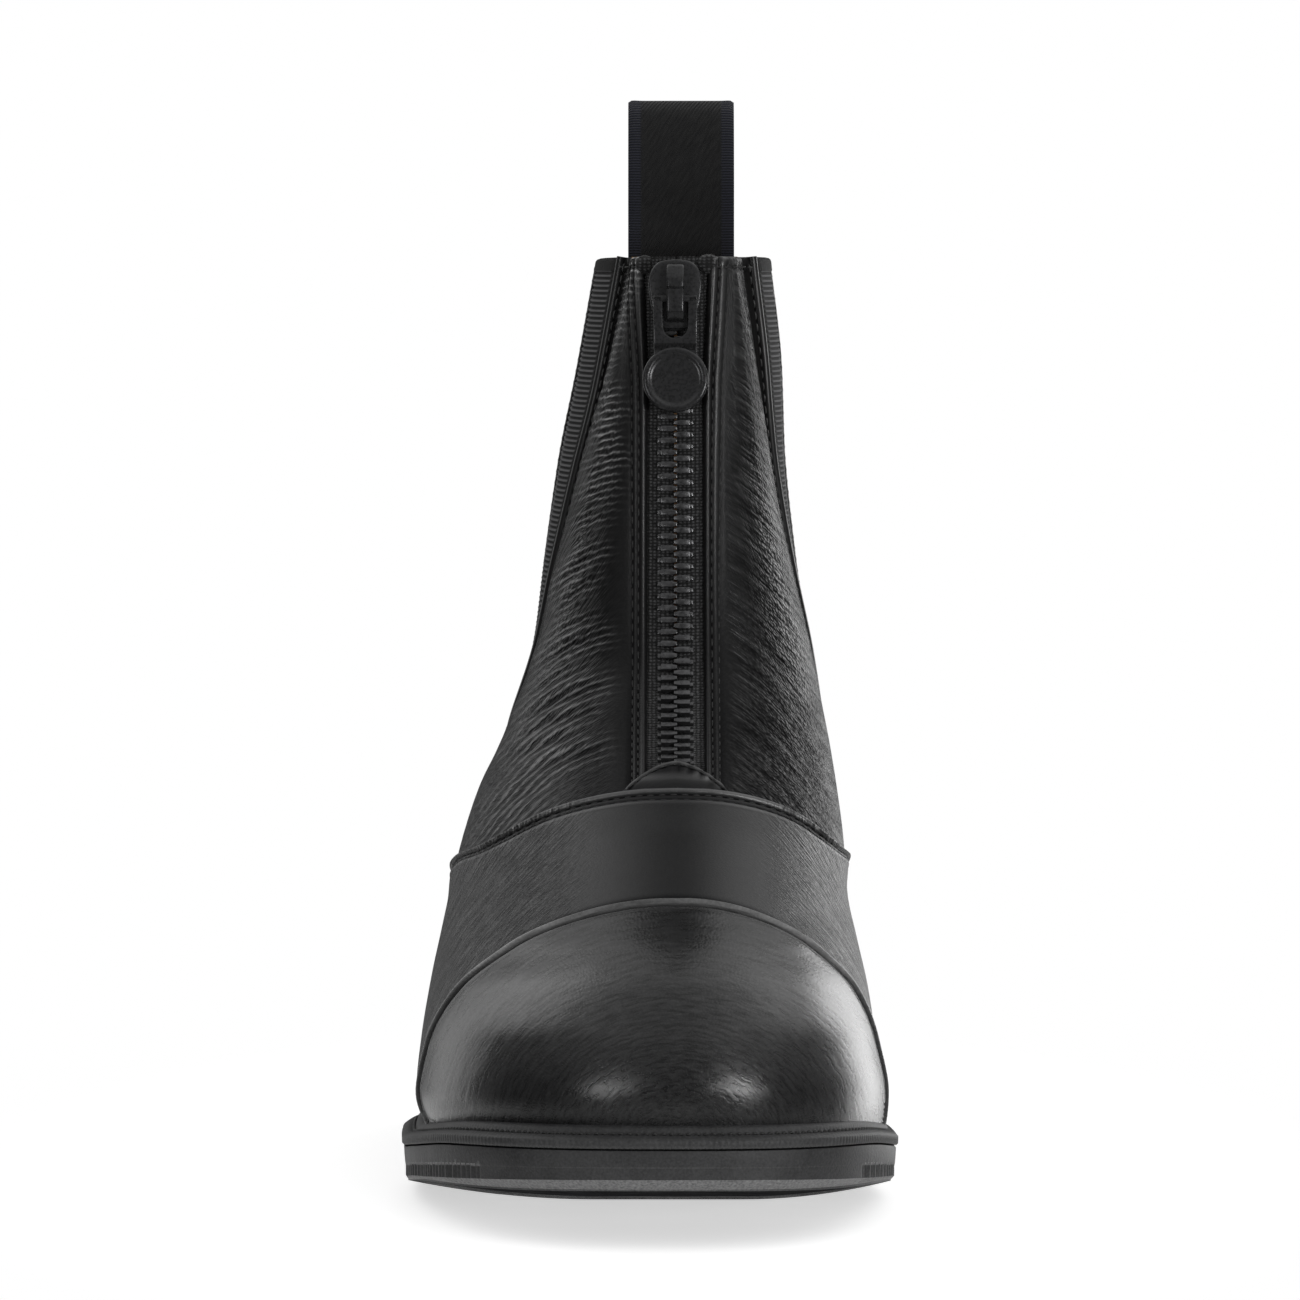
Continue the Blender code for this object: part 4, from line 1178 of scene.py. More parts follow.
def build_backdrop(scene):
    """A soft dome, brightest high up and to the right, that is always white to the eye."""
    world = bpy.data.worlds.new("studio")
    scene.world = world
    world.use_nodes = True
    tree = world.node_tree
    ground = tree.nodes["Background"]
    ground.inputs["Color"].default_value = (1.0, 1.0, 1.0, 1.0)
    aim = add_node(tree, "ShaderNodeTexCoord").outputs["Generated"]
    height = ranged(tree, parts(tree, aim)[2], -1.0, 1.0)
    side = ranged(tree, parts(tree, aim)[0], -1.0, 1.0)
    dome = product(tree, ramp(tree, height, SKY_BY_HEIGHT), ramp(tree, side, SKY_BY_SIDE))
    seen = add_node(tree, "ShaderNodeLightPath").outputs["Is Camera Ray"]
    power = scaled(tree, seen, product(tree, dome, SKY_GAIN), 1.0)
    tree.links.new(power, ground.inputs["Strength"])


def build_floor(scene):
    """Pale paper that thins out to the white backdrop away from the boot."""
    mesh = bpy.data.meshes.new("floor")
    half, count = 1.2, 24
    line = np.linspace(-half, half, count + 1)
    points = [(x, y, 0.0) for y in line for x in line]
    mesh.from_pydata(points, [], grid_faces(count + 1, count + 1))
    made, tree, shader = new_finish("floor_paper", 0.9, specular=0.1)
    place = object_place(tree)
    cloud = noise(tree, place, 3.0, 2.0)
    tint(tree, shader, cloud, (0.86, 0.86, 0.86), (0.9, 0.9, 0.9))
    shader.inputs["Emission Color"].default_value = (1.0, 1.0, 1.0, 1.0)
    shader.inputs["Emission Strength"].default_value = FLOOR_GLOW
    inputs = {0: place, 1: FLOOR_STRETCH}
    wide = add_node(tree, "ShaderNodeVectorMath", inputs, operation="MULTIPLY").outputs[0]
    reach = add_node(tree, "ShaderNodeVectorMath", {0: wide}, operation="LENGTH").outputs["Value"]
    inputs = {"Value": reach, "From Min": 0.09, "From Max": 0.30, "To Min": 1.0, "To Max": 0.0}
    fade = add_node(tree, "ShaderNodeMapRange", inputs, interpolation_type="SMOOTHSTEP")
    tree.links.new(fade.outputs[0], shader.inputs["Alpha"])
    mesh.materials.append(made)
    floor = bpy.data.objects.new("floor", mesh)
    scene.collection.objects.link(floor)


FLOOR_GLOW = 0.55
FLOOR_STRETCH = (1.9, 1.0, 1.0)
SKY_BY_HEIGHT = (
    (0.0, (0.04,)), (0.5, (0.05,)), (0.65, (0.07,)), (0.80, (0.24,)), (0.93, (0.30,)), (1.0, (0.26,)),
)
SKY_BY_SIDE = ((0.0, (0.55,)), (0.25, (0.65,)), (0.5, (0.45,)), (0.75, (0.85,)), (1.0, (1.0,)))
SKY_GAIN = 4.4

# Boxes of light: name, place and two sides in metres, power in watts
LIGHT_AIM = (0.0, -0.05, 0.06)
LIGHTS = (
    ("left_box", (-0.85, 0.75, 1.0), 0.9, 0.7, 2.0),
    ("right_box", (0.85, 0.75, 1.0), 0.9, 0.7, 0.9),
    ("left_low", (-0.82, 0.80, 0.16), 0.6, 0.9, 1.5),
    ("right_low", (0.70, 0.92, 0.14), 0.5, 0.85, 4.6),
    ("left_front", (-0.62, -1.05, 0.13), 0.32, 0.22, 2.4),
    ("right_front", (0.72, -0.98, 0.13), 0.36, 0.22, 5.5),
)


def build_studio():
    scene = bpy.context.scene
    scene.view_settings.view_transform = "Standard"
    scene.view_settings.look = "None"
    build_backdrop(scene)
    build_floor(scene)
    for light in LIGHTS:
        add_light(*light)


build_camera()
build_studio()


# Leather of the upper
SEAM = Batch()
VAMP_TUCK = 6.0
VAMP_OVER = 1.6
CAP_OUT = 1.2
CAP_FLARE = 0.8
VAMP_OUT = 0.62
LINING_BACK = 8
GORE_BACK = 18
GORE_STEP = {-1.0: 1.5, 1.0: 2.0}
PATCH_FOOT_Z = 78.0
VAMP_STITCHES = (1.6, 3.6)


def cap_flow(base):
    """Distances round the toe and out from it, in front view."""
    across = (base[..., 0] - MIDDLE) / CAP_HALF
    up = (base[..., 2] - 20.0) / CAP_TALL
    return CAP_HALF * np.arctan2(up, across), CAP_HALF * np.hypot(up, across)


def build_cap():
    rear = cap_line(CAP_REAR)
    foot = foot_line(rear[0, 0], rear[-1, 0])
    across = marks(long_of(rear), 1.0)
    up = marks(76.0, 1.0, (0.0, 0.6), NEAR_EDGE)
    places = patch(foot, rear, rear[:1].repeat(2, 0), rear[-1:].repeat(2, 0), across, up)
    places = respaced(places, 0, (0.0, 0.6), NEAR_EDGE)

    def height(away, base):
        edge = away["top"]
        strip = np.clip(1 - edge / 2.1, 0, 1)
        ridge = 0.18 * bump_at(edge, 3.5, 0.35)
        groove = 0.8 * bump_at(edge, 2.45, 0.6) + 0.12 * bump_at(edge, 4.2, 0.4)
        # The detail paints highlight on the flared strip and the ridge, and shade in the stitch groove
        return CAP_OUT + CAP_FLARE * strip + ridge - groove, 0.3 * (strip > 0) + 1.5 * ridge - groove

    nodes, edges = ("toe_cap",), ("top",)
    panel("toe_cap_leather", places, height, 1.15, CAP_LEATHER, "cap_leather", nodes, edges, 0.4, cap_flow)
    sew(line_at(places, "top", 2.45), CAP_OUT - 0.82, 1.7, 0.7, 0.17)


def build_vamp():
    top = vamp_line(VAMP_OVER)
    low = cap_line(CAP_REAR - VAMP_TUCK)
    left = foot_line(low[0, 0], top[0, 0])
    right = foot_line(low[-1, 0], top[-1, 0])
    across = marks(long_of(top), 1.1)
    up = marks(70.0, 1.0, (0.0, 1.0), NEAR_EDGE)
    places = respaced(patch(low, top, left, right, across, up), 0, (0.0, 1.0), NEAR_EDGE)

    def height(away, base):
        edge = away["top"]
        proud = VAMP_OUT * (1 - ease((edge - 4.0) / 14.0))
        ridge = 0.7 * bump_at(edge, 0.5, 0.5) + 0.2 * bump_at(edge, 4.6, 0.5)
        band = 0.1 * ease((edge - 1.0) / 0.3) * ease((4.2 - edge) / 0.4)
        rows = 0.34 * sum(bump_at(edge, row, 0.4) for row in VAMP_STITCHES)
        # Painted shadow of the cap's edge on the vamp beside it
        painted_cap_shadow = 0.28 * ease((13.5 - away["bottom"]) / 3.5)
        # The detail paints highlight on the edge ridge and shade in the stitch rows and beside the cap
        return proud + 0.05 + ridge - band - rows, ridge - band - rows - painted_cap_shadow

    def grain(base):
        aside = np.abs(base[..., 0] - MIDDLE)
        leaning = 0.87 * aside + 0.5 * base[..., 2] + 0.55 * base[..., 1]
        return leaning, ease((aside - 14.0) / 18.0), 0.12 + 0.88 * ease((aside - 12.0) / 22.0)

    nodes = ("upper", "vamp_edge")
    panel("vamp_leather", places, height, 1.2, VAMP_LEATHER, "leather", nodes, ("top",), 0.6, fold=grain)
    for row in VAMP_STITCHES:
        sew(line_at(places, "top", row), VAMP_OUT - 0.36, 1.75, 0.7)
    lining("vamp_lining", places, -1.3)


def build_quarter(name, side, leather, creases, sweep, rows, fine, low_shade_reach):
    low_v = float(front_v(PATCH_FOOT_Z))
    inner = slot_edge(side, low_v)
    seam = side_seam(side)
    rear = np.concatenate([seam, gore_edge(side, "front")])
    half = vamp_half(side, VAMP_OVER - VAMP_TUCK)
    half = half[np.abs(half[:, 0]) > abs(inner[0, 0]) + 0.02]
    bottom = np.concatenate([inner[:1], half, seam[:1]])
    collar = np.linspace(inner[-1, 0], rear[-1, 0], 120)
    top = np.stack([collar, np.ones_like(collar)], -1)
    across = marks(62.0, 0.85, NEAR_EDGE, NEAR_EDGE)
    up = marks(150.0, 0.95, (0.0,), NEAR_EDGE[:9])
    if side < 0:
        places = patch(bottom[::-1], top[::-1], rear, inner, across, up)
        zip_side, gore_side = "right", "left"
    else:
        places = patch(bottom, top, inner, rear, across, up)
        zip_side, gore_side = "left", "right"
    places = respaced(places, 0, (0.0,), NEAR_EDGE[:9])
    places = respaced(places, 1, NEAR_EDGE, NEAR_EDGE)

    def height(away, base):
        facing_edge = away[zip_side]
        by_gore = ease((base[..., 2] - 84.0) / 10.0) * (1 - ease(away[gore_side] / 8.0))
        tuck = -0.6 * (1 - ease((away["bottom"] - 3.0) / 4.0)) - GORE_STEP[side] * by_gore
        calm = ease((facing_edge - 6.0) / 4.0) * ease((away[gore_side] - 1.5) / 4.0)
        facing = sum(0.3 * bump_at(facing_edge, row, 0.36) for row in rows)
        raised = 0.12 * ease((facing_edge - rows[0]) / 0.5) * ease((rows[-1] - facing_edge) / 0.5)
        fold = 0.3 * bump_at(facing_edge, 0.75, 0.5)
        seam_dip = 0.2 * bump_at(away[gore_side], 2.6, 0.4)
        collar_dip = 0.18 * bump_at(away["top"], 2.4, 0.4)
        creased = crease_field(base, creases)[0] * calm
        # The detail paints shade in the stitch, seam and collar grooves and highlight on the facing's fold and
        # raised strip
        detail = raised + fold - facing - seam_dip - collar_dip
        # Painted shade: less shine low on the quarter and towards the zip
        painted_low_shade = 0.17 * ease((116.0 - base[..., 2]) / 24.0) * ease((low_shade_reach - facing_edge) / 10.0)
        return tuck + detail + creased, detail + 0.4 * creased - painted_low_shade

    def pleating(base):
        away = away_from_edges(base)
        grain = 0.15 + 0.85 * ease((away[zip_side] - 7.0) / 12.0)
        folded = fine * ease((away[zip_side] - 5.0) / 6.0) + 0.6 * ease((12.0 - away[gore_side]) / 9.0)
        return sweep(base), np.maximum(folded, crease_field(base, creases)[1]), grain

    edges = (zip_side, gore_side, "top")
    panel(name, places, height, 1.25, leather, "leather", ("upper",), edges, fold=pleating)
    for row in rows:
        line = line_at(places, zip_side, row)
        sew(line[line[:, 1] > low_v], -0.16)
    gore_line = line_at(places, gore_side, 2.6)
    sew(gore_line[skin(gore_line[:, 0], gore_line[:, 1])[:, 2] > 88.0], -0.12)
    sew(line_at(places, "top", 2.4)[4:-4], -0.12)
    shown = places[:, GORE_BACK:-LINING_BACK] if side < 0 else places[:, LINING_BACK:-GORE_BACK]
    lining(name + "_lining", shown, -1.32)


def build_back():
    inner = np.concatenate([side_seam(1.0), gore_edge(1.0, "rear")])
    outer = np.concatenate([side_seam(-1.0), gore_edge(-1.0, "rear")])
    outer[:, 0] += 2.0
    bottom = foot_line(inner[0, 0], outer[0, 0])
    collar = np.linspace(inner[-1, 0], outer[-1, 0], 160)
    top = np.stack([collar, np.ones_like(collar)], -1)
    across = marks(160.0, 1.3, NEAR_EDGE[:12], NEAR_EDGE[:12])
    up = marks(165.0, 1.3, (0.0,), NEAR_EDGE[:9])
    places = respaced(patch(bottom, top, inner, outer, across, up), 0, (0.0,), NEAR_EDGE[:9])
    places = respaced(places, 1, NEAR_EDGE[:12], NEAR_EDGE[:12])

    def height(away, base):
        seam_dip = 0.2 * bump_at(away["left"], 2.6, 0.4) + 0.2 * bump_at(away["right"], 2.6, 0.4)
        # The detail paints shade in the seam and collar grooves
        detail = -seam_dip - 0.18 * bump_at(away["top"], 2.4, 0.4)
        return detail, detail

    def grain(base):
        plain = np.zeros(base.shape[:2])
        return plain, plain, plain + 0.8

    edges = ("left", "right", "top")
    panel("back_leather", places, height, 1.25, BACK_LEATHER, "leather", ("upper",), edges, fold=grain)
    for edge in ("left", "right"):
        sew(line_at(places, edge, 2.6), -0.12)
    sew(line_at(places, "top", 2.4)[4:-4], -0.12)
    lining("back_lining", places, -1.32)


def build_patch():
    """Arch of leather over the foot of the zip."""
    dx = -13.0 * np.cos(np.linspace(0, math.pi, 61))
    high_z = 89.8 - 7.4 * (np.abs(dx) / 13.0) ** 1.65
    v_top = front_v(high_z)
    v_low = np.full_like(v_top, front_v(PATCH_FOOT_Z))
    top = np.stack([front_u(v_top, dx), v_top], -1)
    bottom = np.stack([front_u(v_low, dx), v_low], -1)
    up = marks(10.0, 0.5, (0.0,), NEAR_EDGE[:9])
    k = up[:, None, None]
    places = (1 - k) * bottom[None] + k * top[None]
    line = vamp_line(VAMP_OVER)
    edge = skin(line[:, 0], line[:, 1])

    def height(away, base):
        across, up = base[..., 0] - ZIP_X, base[..., 2] - 79.0
        fold = 0.11 * np.sin(base[..., 2] * 1.9 + 0.12 * np.abs(across)) * ease(away["top"] / 3)
        rays = np.sin(24.0 * np.arctan2(up, across)) * ease((across + 3.0) / 5.0)
        fold = fold + 0.1 * rays * ease((5.0 - away["top"]) / 2.0)
        above = (base[..., 2] - np.interp(base[..., 0], edge[:, 0], edge[:, 2])) / 0.46
        rim_line = 0.35 * bump_at(away["top"], 0.5, 0.45) - 0.2 * bump_at(away["top"], 1.5, 0.35)
        level = -0.6 + 0.85 * ease((above + 0.6) / 1.0) + 0.55 * ease((above - 0.2) / 3.0)
        # The detail paints shade and highlight on the folds and the rim line
        return level + fold + rim_line, 1.5 * fold + rim_line

    panel("zip_patch_leather", places, height, 1.0, VAMP_LEATHER, "leather", ("zip_patch",), ("top",))
    sew(line_at(places, "top", 1.4)[10:-10], 0.84, 1.6, 0.7, 0.18)


build_cap()
build_vamp()
build_quarter("quarter_lateral", -1.0, LATERAL_LEATHER, CREASES, lateral_sweep, (2.4, 4.2), 0.0, 24.0)
build_quarter("quarter_medial", 1.0, MEDIAL_LEATHER, MEDIAL_CREASES, medial_sweep, (2.2, 4.4), 0.5, 45.0)
build_back()
build_patch()
SEAM.make("seam_stitches", THREAD, "leather")


# Elastic gores and the folded binding along their front edges
def build_gore(name, side):
    front = gore_edge(side, "front", -3.0, 86.0)
    rear = gore_edge(side, "rear", 3.0, 86.0)
    left, right = (rear, front) if side < 0 else (front, rear)
    front_side = "right" if side < 0 else "left"
    bottom = np.stack([left[0], right[0]])
    collar = np.linspace(left[-1, 0], right[-1, 0], 60)
    top = np.stack([collar, np.ones_like(collar)], -1)
    across = marks(50.0, 2.2, GORE_EDGE, GORE_EDGE)
    up = np.linspace(0, 1, int(112.0 / RIB_PITCH * 6))
    places = respaced(patch(bottom, top, left, right, across, up), 1, GORE_EDGE, GORE_EDGE)

    def height(away, base):
        sunk = np.minimum(away["left"], away["right"])
        hem = ease((base[..., 2] - HEM_Z) / 0.2)
        rib = 0.2 * np.cos(2 * math.pi * base[..., 2] / RIB_PITCH)
        selvedge = ease((SELVEDGE - away[front_side]) / 0.4)
        level = -1.5 + 0.95 * ease((sunk - 2.4) / 2.2) + rib * (1 - hem) * (1 - selvedge) + 0.3 * hem
        return level, -DETAIL_DEEP * np.maximum(selvedge, hem)

    panel(name + "_elastic", places, height, 1.1, ELASTIC, "elastic", (name,), ("top",))


def build_binding(name, side):
    """A folded strip that stands a little proud along the front edge of the gore."""
    edge = gore_edge(side, "front", 0.5)
    line = spaced(edge, np.linspace(0, 1, 150))
    u, v = line[:, 0], line[:, 1]
    point, normal = skin(u, v), outward(u, v)
    aside = np.cross(normal, unit(np.gradient(point, axis=0)))
    turn = np.arange(12) * math.pi / 6
    swell = ease(np.linspace(0, 1, 150) * 12.0 + 0.1)
    rings = []
    for w in turn:
        wide, tall = 1.1 * math.cos(w), 1.2 * math.sin(w)
        rings.append(point + swell[:, None] * (aside * wide + normal * (tall - 0.95)))
    grid = np.array(rings).transpose(1, 0, 2)
    make_piece(name, grid, tube_faces(150, 12), VAMP_LEATHER, "leather", flow=np.zeros((150 * 12, 3)))


# Zip
ASIDE = np.array([1.0, 0.0, 0.0])


def zip_line(low_v=0.55):
    """The middle of the zip on the upper's face."""
    v = np.linspace(low_v, 1.0, 400)
    return skin(front_u(v, 0.0), v)


def zip_frames(distances):
    """Points, tangents and normals along the zip from the foot of its slot, and the hinge's distance."""
    line = zip_line()
    along = lengths(line)
    foot = np.interp(SLOT_FOOT_Z, line[:, 2], along)
    where = foot + np.asarray(distances)
    tangent = read_line(line, along, where + 1.0) - read_line(line, along, where - 1.0)
    tangent[:, 0] = 0.0
    tangent = unit(tangent)
    hinge = np.interp(HINGE_Z, line[:, 2], along) - foot
    return read_line(line, along, where), tangent, np.cross(ASIDE, tangent), hinge


def plate(outline, low, high, round_by, steps=3):
    """Points and faces of a flat plate with rounded edges."""
    outline = np.asarray(outline, float)
    ahead = unit(np.roll(outline, -1, axis=0) - outline)
    back = np.roll(ahead, 1, axis=0)
    inward = unit(np.stack([-(ahead + back)[:, 1], (ahead + back)[:, 0]], -1))
    corner = np.sqrt(np.clip((1 + (ahead * back).sum(axis=1)) / 2, 0.3, 1.0))
    area = (outline[:, 0] * np.roll(outline[:, 1], -1) - outline[:, 1] * np.roll(outline[:, 0], -1)).sum()
    inward = inward * (np.sign(area) / corner)[:, None]
    turn = np.linspace(0, math.pi / 2, steps + 1)
    profile = [(round_by * (1 - math.sin(w)), low + round_by * (1 - math.cos(w))) for w in turn]
    profile += [(round_by * (1 - math.cos(w)), high - round_by * (1 - math.sin(w))) for w in turn]
    rings = []
    for inset, level in profile:
        ring = outline + inward * inset
        rings.append(np.concatenate([ring, np.full((len(ring), 1), level)], axis=1))
    faces = tube_faces(len(rings), len(outline))
    if area < 0:
        faces = turned_face(faces)
    return np.concatenate(rings), faces


def rounded(outline, radius, steps=4):
    """An outline with each of its corners cut to an arc."""
    outline = np.asarray(outline, float)
    made = []
    for before, here, after in zip(np.roll(outline, 1, axis=0), outline, np.roll(outline, -1, axis=0)):
        to_before, to_after = before - here, after - here
        reach = min(radius, 0.48 * np.linalg.norm(to_before), 0.48 * np.linalg.norm(to_after))
        first = here + to_before / np.linalg.norm(to_before) * reach
        last = here + to_after / np.linalg.norm(to_after) * reach
        for t in np.linspace(0, 1, steps + 1):
            made.append((1 - t) ** 2 * first + 2 * t * (1 - t) * here + t**2 * last)
    return np.array(made)


def build_tape(name, side):
    v = np.linspace(8.6 / SECTION_COUNT, 1.0, 220)
    dx = side * np.array([0.35, 0.5, 1.6, 2.8, 3.4, 4.0, 5.0, 6.0, 7.0, 8.0, 9.4])
    if side < 0:
        dx = dx[::-1]
    v_grid, dx_grid = np.meshgrid(v, dx, indexing="ij")
    u = front_u(v_grid, dx_grid)
    base, normal = skin(u, v_grid), outward(u, v_grid)
    cord = 0.30 * bump_at(np.abs(dx_grid), 3.6, 0.45)
    outer = base + normal * (-1.75 + cord)[..., None]
    inner = base - normal * 2.35
    points, faces = slab(outer, inner)
    up = away_from_edges(base)["bottom"]
    flow = both_faces(np.stack([dx_grid, up, np.zeros_like(up)], -1))
    make_piece(name + "_weave", points, faces, TAPE, "webbing", (name,), flow=flow)


TOOTH_TALL = 1.25


def build_teeth(name, side):
    """One row of teeth, each a rounded block with a narrower head that meets the other row."""
    batch = Batch()
    start = 0.8 if side < 0 else 0.8 + TOOTH_PITCH / 2
    reach = zip_frames([0.0])[3] - 2.0
    places = np.arange(start, reach, TOOTH_PITCH)
    point, tangent, normal, _ = zip_frames(places)
    half = TOOTH_TALL / 2
    tip = 0.62 * half
    block = ((3.15, -half), (3.15, half), (0.9, half), (-0.35, tip), (-0.35, -tip), (0.9, -half))
    clamp = ((3.9, -0.5), (3.9, 0.5), (2.6, 0.6), (2.6, -0.6))
    shapes = (
        plate(rounded(block, 0.15, 2) * (side, 1.0), -2.0, -0.25, 0.13, 2),
        plate(rounded(clamp, 0.2, 2) * (side, 1.0), -1.9, -0.8, 0.25, 2),
    )
    for p, t, n in zip(point, tangent, normal):
        for points, faces in shapes:
            batch.add(p + points @ np.stack([ASIDE, t, n]), faces)
    batch.make(name + "_blocks", TOOTH_METAL, "zip_metal", (name,), sharp=40.0)


def slider_frame():
    """Hinge point and the directions down along the zip and out."""
    line = zip_line(0.8)
    here, low = (read_line(line, line[:, 2], z) for z in (HINGE_Z, HINGE_Z - 12.0))
    down = low - here
    down[0] = 0.0
    down = unit(down)
    return here, down, np.cross(down, ASIDE)


HINGE, DOWN, OUT = slider_frame()


def on_slider(points, order=(0, 1, 2)):
    """Places a shape whose axes are listed as across, down and out."""
    points = np.asarray(points, float)
    axes = (ASIDE, DOWN, OUT)
    return HINGE + sum(np.outer(points[:, k], axes[axis]) for k, axis in enumerate(order))


def turned_face(faces):
    return [list(face)[::-1] for face in faces]


SLIDER_OUTLINE = ((-3.4, 6.5), (-5.4, 1.0), (-5.9, -3.6), (-5.2, -6.6), (-3.6, -8.3), (0.0, -8.8))
DISC_DOWN = 17.5
DISC_SIDES = 72


def build_slider():
    batch = Batch()
    outline = [*SLIDER_OUTLINE] + [(-a, d) for a, d in SLIDER_OUTLINE[-2::-1]]
    body, faces = plate(rounded(outline, 1.2, 3), -0.1, 1.3, 0.5)
    batch.add(on_slider(body), turned_face(faces))
    lip = rounded(((-4.6, 6.8), (-4.6, 4.0), (4.6, 4.0), (4.6, 6.8)), 0.6, 2)
    flange, faces = plate(lip, -1.6, 0.6, 0.35)
    batch.add(on_slider(flange), turned_face(faces))
    front = rounded(((-8.0, 0.8), (-7.2, 3.2), (-4.6, 4.4), (-1.3, 4.4), (-1.3, 0.8)), 0.7, 3)
    rear = rounded(((1.3, 0.8), (1.3, 4.4), (2.4, 4.4), (4.6, 3.4), (5.2, 0.8)), 0.7, 3)
    bridge = rounded(((-3.0, 3.45), (-3.0, 4.4), (3.0, 4.4), (3.0, 3.45)), 0.3, 2)
    for part in (front, rear, bridge):
        crown, faces = plate(part, -1.9, 1.9, 0.45)
        batch.add(on_slider(crown, (1, 2, 0)), turned_face(faces))
    batch.make("zip_slider_body", SLIDER_METAL, "zip_metal", ("zip_slider",), sharp=40.0)


def build_pull():
    """Frame with a round ended window and a plain disc with a raised rim."""
    batch = Batch()
    low, high = PIVOT_OUT - 0.75, PIVOT_OUT + 0.75
    pivot_bar = ((-4.8, -0.75), (-4.8, 0.75), (4.8, 0.75), (4.8, -0.75))
    under_rim = [(x, DISC_DOWN - math.sqrt(6.3**2 - x**2)) for x in np.linspace(-4.6, 4.6, 17)]
    neck = [(-4.8, 9.4), *under_rim, (4.8, 9.4)]
    arc = [(2.65 * math.cos(w), 5.9 + 2.65 * math.sin(w)) for w in np.linspace(0, math.pi, 17)]
    frame_line = [(4.8, -0.6), (2.75, -0.6), *arc, (-2.75, -0.6), (-4.8, -0.6), (-4.7, 11.5), (4.7, 11.5)]
    for outline in (rounded(pivot_bar, 0.5, 3), frame_line, neck):
        shape, faces = plate(outline, low, high, 0.3)
        batch.add(on_slider(shape), turned_face(faces))
    top = high + 0.25
    profile = (
        (3.0, top - 0.44), (5.0, top - 0.40), (5.45, top - 0.36), (5.75, top - 0.10),
        (6.0, top), (6.55, top), (6.9, top - 0.14), (7.1, top - 0.45),
        (7.1, low + 0.25), (6.9, low - 0.02), (6.5, low - 0.1),
    )
    turn = np.arange(DISC_SIDES) * 2 * math.pi / DISC_SIDES
    rings = [[(r * math.cos(w), DISC_DOWN + r * math.sin(w), n) for w in turn] for r, n in profile]
    batch.add(on_slider(np.array(rings).reshape(-1, 3)), tube_faces(len(rings), DISC_SIDES))
    batch.make("zip_pull_tab", SLIDER_METAL, "zip_metal", ("zip_pull",), body="pull_tab", sharp=40.0)


def build_tape_ends():
    """The folded tops of the tapes beside the slider."""
    batch = Batch()
    for dx, z, wide in ((-7.6, 196.2, 2.2), (7.6, 196.4, 2.6)):
        v = front_v(z)
        u = front_u(v, dx)
        centre = skin(u, v) - outward(u, v) * 1.4
        turn, tilt = np.meshgrid(np.arange(16) * math.pi / 8, np.linspace(-1.4, 1.4, 9))
        flat = np.cos(tilt)
        ball = np.stack([wide * flat * np.cos(turn), 1.5 * flat * np.sin(turn), 2.3 * np.sin(tilt)], -1)
        ball = np.sign(ball) * np.abs(ball) ** 0.9
        batch.add(centre + ball.reshape(-1, 3), tube_faces(9, 16))
    made = batch.make("zip_tape_ends", TAPE, "webbing")
    layer = made.data.attributes.new("flow", "FLOAT_VECTOR", "POINT")
    places = np.array([vertex.co for vertex in made.data.vertices]) / MM
    layer.data.foreach_set("vector", places[:, [0, 2, 1]].ravel())


build_gore("gore_lateral", -1.0)
build_gore("gore_medial", 1.0)
build_binding("gore_binding_lateral", -1.0)
build_binding("gore_binding_medial", 1.0)
build_tape("zip_tape_lateral", -1)
build_tape("zip_tape_medial", 1)
build_teeth("zip_teeth_lateral", -1)
build_teeth("zip_teeth_medial", 1)
build_slider()
build_pull()
build_tape_ends()


# Welt, sole and heel
def even_ring(count, out=0.0):
    """Places round the rim, the same distance apart, from the heel's back round by the outer side."""
    u = np.linspace(-1, 1, 4001)
    line = rim(u, out)
    length = lengths(line)
    where = np.arange(count) * length[-1] / count
    return np.interp(where, length, u), where, length[-1]


def wave(distance, pitch, sharp=3.0):
    """A row of rounded teeth between 0 and 1."""
    return 0.5 + 0.5 * np.tanh(sharp * np.cos(2 * math.pi * distance / pitch)) / math.tanh(sharp)


WELT_PITCH = 1.2
# Share down the welt's slope, height over it and depth of the notches there
WELT_PROFILE = (
    (0.00, -0.3, 0.0), (0.02, 0.30, 0.0), (0.10, 0.52, 0.0), (0.24, 0.55, 0.0), (0.34, 0.40, 0.2),
    (0.40, 0.0, 0.6), (0.46, -0.28, 0.3), (0.54, -0.32, 0.0), (0.60, -0.05, 0.5), (0.66, 0.22, 0.8),
    (0.74, 0.30, 0.4), (0.88, 0.25, 0.0), (0.97, 0.16, 0.3), (1.00, -0.02, 0.8),
)


